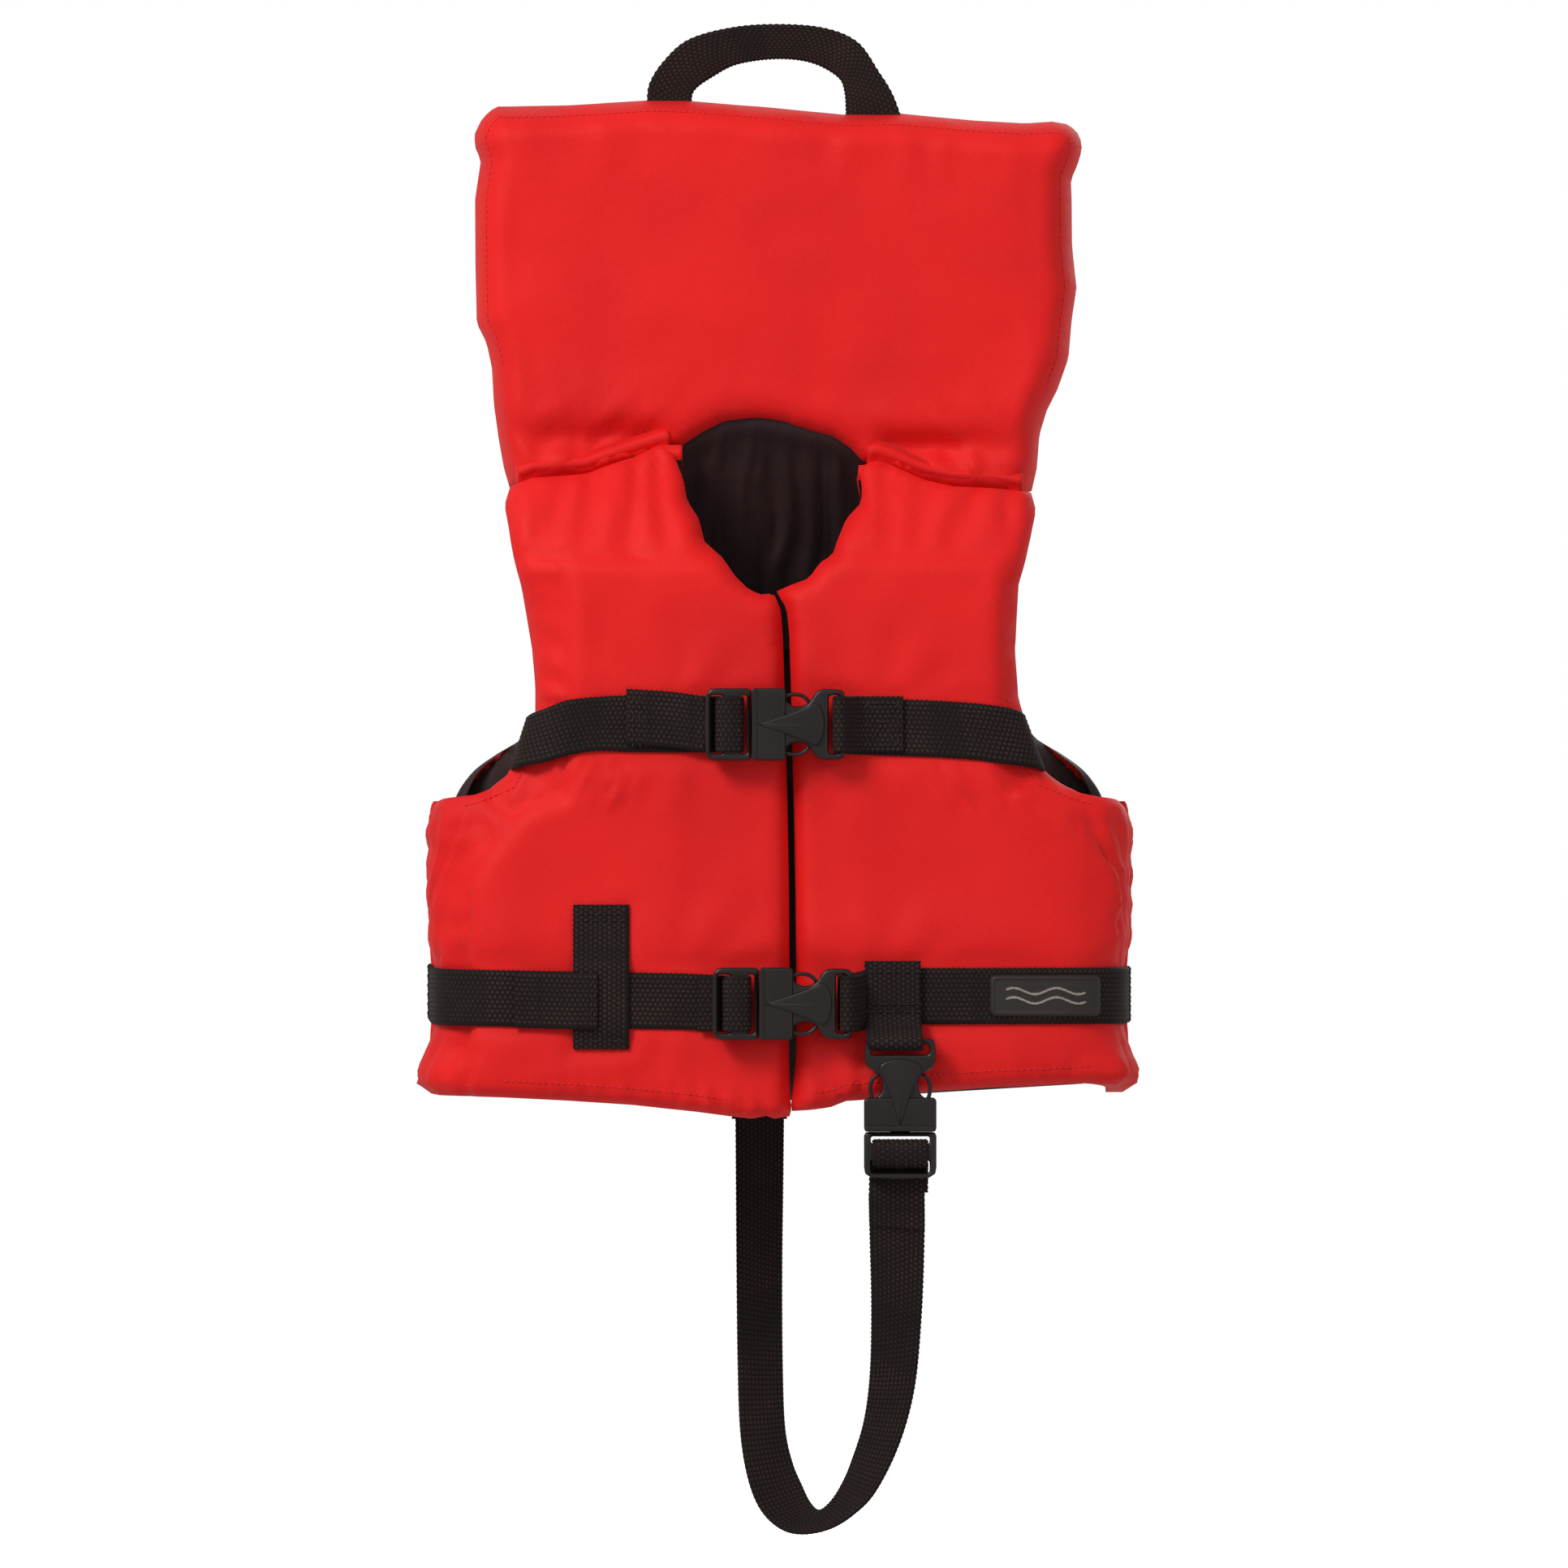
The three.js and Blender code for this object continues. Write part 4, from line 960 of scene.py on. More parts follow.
def collar_surface():
    side = np.array(COLLAR_SIDE); arc = np.array(ARC)
    outline = np.concatenate([side, arc[1:-1]])
    foam = np.array([(-122, -34), (-60, -29), (0, -32), (60, -36), (120, -42), (125, -100), (121, -140), (110, -166), (60, -168), (20, -162), (-10, -156), (-34, -160), (-60, -168), (-114, -168), (-122, -140), (-127, -100)])
    def parts(P):
        return seg_dist(P, side), seg_dist(P, arc), signed(P, foam)
    def bottom(x):
        return np.interp(x, [-130, -60, -48, 40, 52, 120], [1, 1, 0.15, 0.15, 1, 1])
    def outer(P):
        x, z = P[:, 0], P[:, 1]
        ds, db, f = parts(P)
        g = np.sqrt(np.maximum(0, 1 - (1 - np.clip(ds / 15.0, 0, 1)) ** 2))
        fl = bottom(x)
        y = -27.2 * g
        # pulled in a little along the middle of each side, and where the foam ends
        y += 1.2 * vnoise(x / 62, z / 40, 201) + 0.45 * vnoise(x / 19, z / 19, 202)
        zc = -171.5 - 3.0 * vnoise(x / 34, x * 0, 203) - 0.02 * (x + 90)
        low = fl * smooth(-158, -168, z) * smooth(0, 3, db)
        near_neck = 0.30 + 0.70 * np.exp(-((np.abs(x + 4) - 62) / 26.0) ** 2)
        y += fl * near_neck * (8.5 + 2.5 * vnoise(x / 26, x * 0 + 0.3, 209)) * np.exp(-((z - zc) / 6.5) ** 2) * smooth(1, 7, db) * smooth(2, 14, ds)
        y += -1.4 * fl * near_neck * np.exp(-((z - zc - 13) / 9.0) ** 2) * g
        sk = fl * smooth(zc + 2, zc - 5, z)
        y += sk * (2.0 * folds(x, z, 19, 40, 205) + 0.9 * folds(x * 0.6 + z, x, 13, 30, 206)) * smooth(0, 7, db)
        y += fl * smooth(-145, -165, z) * smooth(0, 8, db) * smooth(4, 16, ds) * (1.5 * folds(0.8 * np.abs(x + 4) + 0.7 * z, x, 17, 34, 207) + 0.7 * folds(x, z, 8, 18, 217))
        # centre: cover rounds under to the neck seam
        y += (1 - fl) * (9.5 - 9.5 * np.sqrt(np.maximum(0, 1 - (1 - np.clip(db / 15.0, 0, 1)) ** 2)))
        # flat seam around the top and the sides
        y += 0.6 * np.exp(-((ds - 5.2) / 1.5) ** 2) * g
        # upright tension lines below the top seam
        y += 0.7 * folds(x, z, 27, 50, 208) * np.exp(-((ds - 16) / 12.0) ** 2)
        y += 1.0 * smooth(-180, -192, z) * fl + 1.6 * np.exp(-(db / 2.2) ** 2)
        return np.stack([x, y, z], 1)
    def inner(P):
        x, z = P[:, 0], P[:, 1]
        ds, db, f = parts(P)
        g = np.sqrt(np.maximum(0, 1 - (1 - np.clip(ds / 15.0, 0, 1)) ** 2))
        b = smooth(-148, -186, z)
        c = smooth(-132, -162, z) * (1 - bottom(x)) / 0.85
        y = 27 * g
        y -= 1.2 * vnoise(x / 58, z / 44, 211) + 0.5 * vnoise(x / 19, z / 19, 212)
        y = y * (1 - b) + b * 21.0
        y = y * (1 - 0.0 * c)
        y -= 0.6 * np.exp(-((ds - 5.2) / 1.5) ** 2) * g * (1 - b)
        y = np.maximum(y, -27.2 * g + 9 * np.clip(ds / 6, 0.25, 1))
        return np.stack([x, y, z], 1)
    return outline, outer, inner, parts
outline, outer, inner, parts = collar_surface()
collar, P, nb = pad("collar_pillow", outline, 3.4, outer, inner, [RED, RED], wall=4)
n = len(P)
ds, db, f = parts(P)
hold = 0.22 + 0.4 * smooth(0, 16, f)
hold = np.where(ds < 4, 0.95, hold)
hold = np.where(P[:, 1] < -174, 0.25, hold)
hold = np.where(db < 4, 1, hold)
full = np.concatenate([hold, np.where((ds < 4) | (db < 4), 0.95, 0.4), np.full(len(collar.data.vertices) - 2 * n, 0.9)]); full[:nb] = 1
cloth(collar, full, frames=14, pressure=0.6, shrink=-0.008, cap=3.5, bend=0.5)

# ------------------------------------------------------------------ thin sewn sheets
def grid_sheet(name, f, nu, nv, t, mats):
    """closed thin sheet from f(u, v) -> point in mm, u, v in 0..1"""
    u, v = np.meshgrid(np.linspace(0, 1, nu), np.linspace(0, 1, nv), indexing='ij')
    G = f(u, v)
    du, dv = np.gradient(G, axis=0), np.gradient(G, axis=1)
    N = np.cross(du, dv); N /= np.linalg.norm(N, axis=2)[:, :, None] + 1e-9
    A, B = (G + N * t / 2).reshape(-1, 3), (G - N * t / 2).reshape(-1, 3)
    V = np.concatenate([A, B]); n = nu * nv
    F, M = [], []
    idx = np.arange(n).reshape(nu, nv)
    for i in range(nu - 1):
        for j in range(nv - 1):
            a, b, c, d = idx[i, j], idx[i + 1, j], idx[i + 1, j + 1], idx[i, j + 1]
            F.append([a, b, c, d]); M.append(0)
            F.append([n + a, n + d, n + c, n + b]); M.append(1 if len(mats) > 1 else 0)
    ring = list(idx[:, 0]) + list(idx[-1, 1:]) + list(idx[-2::-1, -1]) + list(idx[0, -2:0:-1])
    for a, b in zip(ring, ring[1:] + ring[:1]):
        F.append([b, a, n + a, n + b]); M.append(0)
    o = make(name, V, F, mats, M)
    outward(o)
    return o

arc_pts = np.array(sorted([(x, z) for x, z in ARC if -60 < x < 50]))
def neck_f(u, v):
    x = -56 + 98 * u
    ztop = np.interp(x, arc_pts[:, 0], arc_pts[:, 1]) + 2.5
    zb = -268.0
    z = ztop + (zb - ztop) * v
    yt = -15.0
    y = yt + (37 - yt) * (v ** 0.62) * 0.98
    y = np.interp(z, [-268, -240, -222, -205, -190, -176, -164], [36, 24, 14, 3, -6, -12.5, -16])
    y = y + (3.2 * folds(x + 4 * vnoise(x / 30, z / 30, 5), z, 15.5, 90, 303) + 1.2 * folds(x, z, 7, 40, 304)) * smooth(0, 0.22, v) * (1 - 0.4 * v) * 0.9
    y = y - 3.0 * np.exp(-((v - 0.05) / 0.05) ** 2)
    return np.stack([x, y, z], -1)
neck_lining = grid_sheet("neck_lining_cloth", neck_f, 66, 60, 1.2, [BLACK])

def band_f(u, v):
    x = -110.5 + 219 * u
    # from the collar's back, round to the back pad's top edge
    path = np.array([(22, -164), (24.5, -174), (24.5, -183), (25.5, -190), (30, -195.5), (36, -199.5), (41, -204), (43.5, -210)], float)
    t = v * (len(path) - 1)
    y = np.interp(t, np.arange(len(path)), path[:, 0]); z = np.interp(t, np.arange(len(path)), path[:, 1])
    w = 1.8 * folds(x, z, 16, 30, 322) + 0.8 * folds(x, z, 7, 20, 323)
    k = np.sin(np.pi * v)
    taper = smooth(0, 0.06, u) * smooth(0, 0.06, 1 - u)
    return np.stack([x * (1 - 0.02 * v), y + k * w * 0.8 - (1 - taper) * 6, z + k * w * 0.3 + 0 * x], -1)
neck_band = grid_sheet("neck_band_cloth", band_f, 120, 30, 1.4, [RED])

def yoke(side):
    sg = -1 if side == 'left' else 1
    x0, x1 = (-120.5, -44.0) if sg < 0 else (36.0, 111.5)
    top = np.array(LEFT_TOP if sg < 0 else RIGHT_TOP); top = top[np.argsort(top[:, 0])]
    def f(u, v):
        x = (x0 + (x1 - x0) * u) * (1 - 0.085 * v * (np.abs(x0 + (x1 - x0) * u) > 0) * smooth(60, 115, np.abs(x0 + (x1 - x0) * u)))
        zf = np.interp(x, top[:, 0], top[:, 1]) - 4.0
        path_y = np.interp(v, [0, 0.2, 0.45, 0.7, 1], [-27, -12, 6, 22, 39])
        z = zf * (1 - smooth(0, 0.7, v)) - 201.0 * smooth(0, 0.7, v) - 1.5 * v
        w = (2.0 * folds(x, path_y, 15, 60, 331 + sg) + 0.8 * folds(x, path_y, 7, 30, 332 + sg)) * np.sin(np.pi * np.clip(v, 0, 1))
        return np.stack([x, path_y, np.minimum(z + w * 0.5, zf + 1.5) - 1.0 * np.sin(np.pi * v)], -1)
    return grid_sheet(f"{side}_shoulder_cloth", f, 44, 30, 7.0, [RED, BLACK])
YOKES = {s: yoke(s) for s in ('left', 'right')}

# the strip of lining under the seam between the collar and each shoulder
ARC_SORTED = np.array(sorted(ARC))
def seam_strip(side):
    x0, x1 = (-119.0, -50.0) if side == 'left' else (40.0, 110.5)
    def f(u, v):
        x = x0 + (x1 - x0) * u
        az = np.interp(x, ARC_SORTED[:, 0], ARC_SORTED[:, 1])
        return np.stack([x, -25.0 + 5.0 * np.sin(np.pi * v) + 0 * x, az + 7.0 - 19.0 * v], -1)
    return grid_sheet(f"{side}_neck_seam_strip", f, 40, 10, 6.0, [RED])
SEAM_STRIPS = [seam_strip(s) for s in ('left', 'right')]

# ------------------------------------------------------------------ belts and tabs
Y0 = -66.0
def front_path(s0, s1, off, z0, z1, n=40, cinch=True):
    s = np.linspace(s0, s1, n)
    x, y, nx, ny = on_plan(FRONT, s, True)
    a = np.abs(s)
    o = off - (1.1 * smooth(128, 152, a) if cinch else 0)
    z = np.linspace(z0, z1, n)
    return np.stack([x + nx * o, y + ny * o, z], 1)
def belt_on(name, path, w=25.4, t=1.6, **kw):
    up = np.array([0, 0, w / 2])
    return ribbon(name, path + up, path - up, t, **kw)

T1, T2, T3 = 0.55, 2.35, 4.2
# chest belt
BA = [(-108.5, -34, -303), (-112.3, -42, -300.5), (-113.6, -50, -299), (-111.9, -57, -297.5), (-107, -62.2, -295.6), (-101, -65.6, -293.2), (-94.9, -66.55, -291.2), (-82, -66.55, -289.9), (-69.1, -66.55, -289.3), (-50, -66.55, -289.6), (-29, -68, -289.7)]
BB = [(-115, -34, -325), (-119.8, -42, -324), (-121.4, -50, -323), (-119.4, -57, -322.2), (-114, -62.2, -321), (-105, -65.6, -319.2), (-96, -66.55, -316.5), (-82, -66.55, -314.4), (-69, -66.55, -314.9), (-50, -66.55, -315.1), (-29, -68, -315.1)]
upper_belt_left = ribbon("upper_belt_left_web", spline(np.array(BA, float), 200), spline(np.array(BB, float), 200), 1.6, wave_seed=3)
pt = np.array([[-69.2, Y0 - T2 - 0.4, UPPER_Z + 3.4], [-50, Y0 - T2 - 0.5, UPPER_Z + 2.2], [-40, Y0 - T2 - 1.6, UPPER_Z + 0.9], [-33.5, Y0 - T2 - 3.0, UPPER_Z]])
upper_tail = belt_on("upper_belt_tail_web", spline(pt, 60), wave_seed=4)
BA = [(24.5, -67.6, -290.4), (40, -66.55, -290.6), (70, -66.55, -291.6), (88, -66.55, -292.8), (97, -65.6, -293.8), (104, -62.2, -295), (108.8, -57, -296.4), (110.4, -50, -298), (109.2, -42, -300), (105.5, -34, -303)]
BB = [(24.5, -67.6, -315.6), (40, -66.55, -316.2), (70, -66.55, -317.2), (88, -66.55, -318.4), (101, -65.6, -320.2), (110.5, -62.2, -321.4), (117.2, -57, -322.4), (120.0, -50, -323.4), (118.8, -42, -324.6), (114, -34, -326)]
upper_belt_right = ribbon("upper_belt_right_web", spline(np.array(BA, float), 200), spline(np.array(BB, float), 200), 1.6, wave_seed=5)
pf = np.array([[24.6, Y0 - 8.6, UPPER_Z], [30, Y0 - 6.2, UPPER_Z], [36, Y0 - T2 - 0.7, UPPER_Z + 0.1], [44, Y0 - T2, UPPER_Z + 0.2], [56.4, Y0 - T2, UPPER_Z + 0.4]])
upper_fold = belt_on("upper_belt_fold_web", spline(pf, 60), wave_seed=6)
# waist belt
def seam_path(sg, z):
    """the last bit of a side belt, over the seam and onto the back belt"""
    s = np.linspace(BACK_LEN - 11, BACK_LEN - 1.5, 6) * sg
    x, y, nx, ny = on_plan(BACKC, s, False)
    off = 1.2
    return np.stack([x + nx * off, y + ny * off, np.full(6, z)], 1)
ll = front_path(-FRONT_LEN, -44, T1, BELT_L + 0.3, LOWER_Z + 1.0, 90)
ll = np.concatenate([seam_path(-1, BELT_L + 0.3), ll, [[-30, Y0 - T1 - 0.8, LOWER_Z + 0.4], [-25, Y0 - T1 - 1.6, LOWER_Z]]])
lower_belt_left = belt_on("lower_belt_left_web", spline(ll, 260), wave_seed=7)
rr = front_path(44, FRONT_LEN, T1, LOWER_Z + 3.4, BELT_R, 90)
rr = np.concatenate([[[26.5, Y0 - T1 - 1.4, LOWER_Z + 0.4], [34, Y0 - T1 - 0.5, LOWER_Z + 1.4]], rr, seam_path(1, BELT_R)[::-1]])
lower_belt_right = belt_on("lower_belt_right_web", spline(rr, 260), wave_seed=8)
tl = np.array([[-119.9, Y0 - T2, LOWER_Z + 1.9], [-108, Y0 - T2 - 0.2, LOWER_Z + 1.6], [-98, Y0 - T2 - 1.0, LOWER_Z + 1.3], [-93, Y0 - T3 - 0.1, LOWER_Z + 1.2], [-86, Y0 - T3 - 0.2, LOWER_Z + 1.1], [-82.3, Y0 - T3 - 0.1, LOWER_Z + 1.0]])
lower_tail = belt_on("lower_belt_tail_web", spline(tl, 60), wave_seed=9)
def back_path(s0, s1, off, z, n=120):
    s = np.linspace(s0, s1, n)
    x, y, nx, ny = on_plan(BACKC, s, False)
    o = off - 0.6 * smooth(120, 140, np.abs(s))
    return np.stack([x + nx * o, y + ny * o, np.full(n, z)], 1)
lower_belt_back = belt_on("lower_belt_back_web", spline(back_path(-BACK_LEN + 5, BACK_LEN - 5, 0.0, LOWER_Z + 4), 300), wave_seed=10)
def tab(name, x, ys, zs, w=25.4, seed=1, n=60, lean=0.0):
    P = spline(np.array([[x + lean * (z - zs[0]), y, z] for y, z in zip(ys, zs)], float), n)
    e = np.array([w / 2, 0, 0])
    return ribbon(name, P - e, P + e, 1.6, wave_seed=seed)
keeper = tab("keeper_tab_web", -80.6, [Y0 - T1, Y0 - T1, Y0 - T1 - 0.6, Y0 - T2, Y0 - T2, Y0 - T2, Y0 - T1 - 0.7, Y0 - T1], [-384.0, -400, -408, -414, -428, -440.5, -444.5, -449.4], seed=11)
crotch_tab = tab("crotch_tab_web", 52.3, [Y0 - T2, Y0 - T2, Y0 - T2 - 0.4, Y0 - T2 - 3.2, Y0 - 9.2], [-410.8, -428, -438, -444.6, -449.4], seed=12)
loops = []
for i, x in enumerate((-78, 78)):
    yb, zc = 76.0, LOWER_Z + 4
    loops.append(tab(f"back_loop_{'left' if x < 0 else 'right'}_web", x, [yb + 0.4, yb + 0.5, yb + 1.0, yb + 2.3, yb + 2.3, yb + 1.0, yb + 0.5, yb + 0.4], [zc + 30, zc + 19, zc + 16, zc + 12.5, zc - 12.5, zc - 16, zc - 19, zc - 30], seed=13 + i))

# side seams: the cover bends here when a front swings open
def gusset(sg):
    fs = np.linspace(FRONT_LEN - 13, FRONT_LEN, 14)
    bs = np.linspace(BACK_LEN, BACK_LEN - 13, 14)[1:]
    xf, yf, nxf, nyf = on_plan(FRONT, fs * sg, True)
    xb, yb, nxb, nyb = on_plan(BACKC, bs * sg, False)
    x, y = np.concatenate([xf, xb]), np.concatenate([yf, yb])
    nx, ny = np.concatenate([nxf, nxb]), np.concatenate([nyf, nyb])
    n = len(x)
    tt = np.linspace(0, 1, n)
    zs = np.concatenate([[-337.2, -338.4, -341, -345], np.linspace(-350, -458, 28), [-461.5, -463.5, -464.6]])
    m = len(zs)
    ends = np.minimum(smooth(0, 0.10, tt), smooth(0, 0.10, 1 - tt))
    edge = np.interp(zs, [-464.6, -461, -343, -337.2], [0, 1, 1, 0]) ** 0.5
    wob = lambda i, z: 0.5 * folds(z * 0 + i * 2.0, z, 7, 60, 410)
    out_, in_ = [], []
    for j, z in enumerate(zs):
        near = np.exp(-((z - LOWER_Z - 4) / 15.0) ** 2)
        seam_ = 1.1 * np.exp(-((tt - 0.5) / 0.06) ** 2)
        o = -1.3 + 1.9 * ends * edge[j] - seam_ * edge[j] - 1.6 * near * ends
        q = -9.0 - 1.8 * ends * edge[j]
        out_.append(np.stack([x + nx * o, y + ny * o, np.full(n, z)], 1))
        in_.append(np.stack([x + nx * q, y + ny * q, np.full(n, z)], 1))
    O, I = np.array(out_), np.array(in_)
    V = np.concatenate([O.reshape(-1, 3), I.reshape(-1, 3)])
    N = m * n
    idx = np.arange(N).reshape(m, n)
    F, M = [], []
    for i in range(m - 1):
        for j in range(n - 1):
            a, b, c, d = idx[i, j], idx[i + 1, j], idx[i + 1, j + 1], idx[i, j + 1]
            F.append([a, b, c, d]); M.append(0)
            F.append([N + a, N + d, N + c, N + b]); M.append(1)
    ring = list(idx[:, 0]) + list(idx[-1, 1:]) + list(idx[-2::-1, -1]) + list(idx[0, -2:0:-1])
    for a, b in zip(ring, ring[1:] + ring[:1]):
        F.append([b, a, N + a, N + b]); M.append(0)
    o = make(f"{'left' if sg < 0 else 'right'}_side_seam", V, F, [RED, BLACK], M)
    outward(o)
    return o
GUSSETS = {'left': gusset(-1), 'right': gusset(1)}

# ------------------------------------------------------------------ grab handle
HO = [(-60.2, -19.5), (-58.9, -11), (-52.8, -1.3), (-41.7, 8.6), (-23.5, 14.0), (-3.3, 15.8), (19.5, 14.3), (35.5, 7.8), (45.4, -5.9), (51.3, -15.4), (55.6, -26.5)]
HI = [(-40.0, -20.5), (-38.4, -14.2), (-30.3, -8.2), (-18.8, -2.4), (-0.7, 0.0), (14.7, -1.8), (26.3, -8.0), (29.6, -14.7), (30.4, -27.5)]
ho, hi = spline(np.array(HO), 120), spline(np.array(HI), 120)
yy = 1.6 * np.sin(np.linspace(0, math.pi, 120)) * 0.6
tw = np.linspace(-1, 1, 120)
A = np.stack([ho[:, 0], -0.4 - 1.2 * np.cos(tw * 1.4), ho[:, 1]], 1)
B = np.stack([hi[:, 0], 0.6 + 0.8 * np.cos(tw * 1.4), hi[:, 1]], 1)
handle = ribbon("grab_handle_web", A, B, 2.0, weave=0.3, wave_seed=15)

# ------------------------------------------------------------------ crotch strap
CA = [(-19.9, 53.5, -468), (-19.6, 47.5, -508), (-19.3, 36.5, -550), (-18.8, 24.5, -592), (-17.6, 16, -624), (-14.2, 11, -645), (-8.6, 6.5, -659), (0, -2, -667.4), (9.8, -9, -670), (23, -15, -667.6), (34.6, -20.5, -660.4), (44.1, -26, -650), (54.4, -33, -629), (61.4, -42, -603), (64.6, -53, -569), (65.8, -64, -535), (65.8, -70.5, -516)]
CB = [(2.2, 65.5, -468), (1.8, 59.5, -508), (1.3, 48.5, -550), (1.5, 36.5, -592), (2.6, 29, -622), (6.0, 25.5, -638), (10.2, 20.5, -648), (14.2, 13.5, -656), (18.6, 7, -659.5), (24.0, 0, -655), (29.0, -6.5, -646.5), (33, -13, -636.5), (38.4, -22, -619), (41.2, -33, -597), (41.8, -47, -566), (41.0, -60, -533), (40.6, -69.5, -516)]
ca, cb = spline(np.array(CA, float), 260), spline(np.array(CB, float), 260)
strap = ribbon("crotch_strap_web", ca, cb, 1.7, weave=0.3, wave_seed=16)
strap_path = (ca + cb) / 2
STRAP_LEN = float(np.linalg.norm(np.diff(strap_path, axis=0), axis=1).sum()) * MM


# ------------------------------------------------------------------ buckles
def plate(name, outline, w0, w1, bevel, holes=(), res=3):
    """rounded plate in a buckle's own u, v, w (mm) from a filled outline with holes"""
    c = bpy.data.curves.new(name, 'CURVE')
    c.dimensions = '2D'
    c.fill_mode = 'BOTH'
    for ring in [outline] + list(holes):
        R = np.array(ring, float)
        sp = c.splines.new('POLY')
        sp.points.add(len(R) - 1)
        for p, q in zip(sp.points, R):
            p.co = (q[0] * MM, q[1] * MM, 0, 1)
        sp.use_cyclic_u = True
    c.extrude = ((w1 - w0) / 2 - bevel) * MM
    c.bevel_depth = bevel * MM
    c.bevel_resolution = res
    c.offset = -bevel * MM
    o = bpy.data.objects.new(name, c)
    COL.objects.link(o)
    dg = bpy.context.evaluated_depsgraph_get()
    me = bpy.data.meshes.new_from_object(o.evaluated_get(dg), depsgraph=dg)
    bpy.data.objects.remove(o)
    me.transform(Matrix.Translation((0, 0, (w0 + w1) / 2 * MM)))
    me.materials.clear(); me.materials.append(PLASTIC)
    q = bpy.data.objects.new(name, me)
    COL.objects.link(q)
    bm = bmesh.new(); bm.from_mesh(me)
    bmesh.ops.remove_doubles(bm, verts=bm.verts, dist=2e-6)
    bmesh.ops.recalc_face_normals(bm, faces=bm.faces)
    for f_ in bm.faces:
        f_.smooth = True
    bm.to_mesh(me); bm.free()
    return q

def rrect(u0, u1, v0, v1, r, n=6):
    P = []
    for cx, cy, a0 in ((u1 - r, v1 - r, 0), (u0 + r, v1 - r, 90), (u0 + r, v0 + r, 180), (u1 - r, v0 + r, 270)):
        for k in range(n + 1):
            a = math.radians(a0 + 90 * k / n)
            P.append((cx + r * math.cos(a), cy + r * math.sin(a)))
    return P

def sharpen(o, angle=38):
    m = o.modifiers.new("wn", 'WEIGHTED_NORMAL'); m.keep_sharp = True
    bake(o)

def box_cut(o, u0, u1, v0, v1, w0, w1):
    me = bpy.data.meshes.new("cut")
    b = bmesh.new(); bmesh.ops.create_cube(b, size=1)
    for v in b.verts:
        v.co = Vector((((u0 + u1) / 2 + v.co.x * (u1 - u0)) * MM, ((v0 + v1) / 2 + v.co.y * (v1 - v0)) * MM, ((w0 + w1) / 2 + v.co.z * (w1 - w0)) * MM))
    b.to_mesh(me); b.free()
    c = bpy.data.objects.new("cut", me); COL.objects.link(c)
    m = o.modifiers.new("cut", 'BOOLEAN'); m.operation = 'DIFFERENCE'; m.object = c; m.solver = 'EXACT'
    bake(o)
    bpy.data.objects.remove(c)

def place(o, kind):
    T = {
        'upper': Matrix(((1, 0, 0, 0), (0, 0, -1, -77 * MM), (0, 1, 0, UPPER_Z * MM), (0, 0, 0, 1))),
        'lower': Matrix(((1, 0, 0, 3.3 * MM), (0, 0, -1, -77 * MM), (0, 1, 0, LOWER_Z * MM), (0, 0, 0, 1))),
        'crotch': Matrix(((0, -1, 0, 54.8 * MM), (0, 0, -1, -77 * MM), (1, 0, 0, -474.3 * MM), (0, 0, 0, 1))),
    }[kind]
    o.data.transform(T)
    if T.to_3x3().determinant() < 0:
        o.data.flip_normals()
    return o

def loop_web(name, uw, seed, half=12.6):
    """webbing round a bar: (u, w) points, its width along v"""
    P = spline(np.array([[u, 0, w] for u, w in uw], float), 150)
    e = np.array([0, half, 0])
    return ribbon(name, P - e, P + e, 1.5, wave_seed=seed)

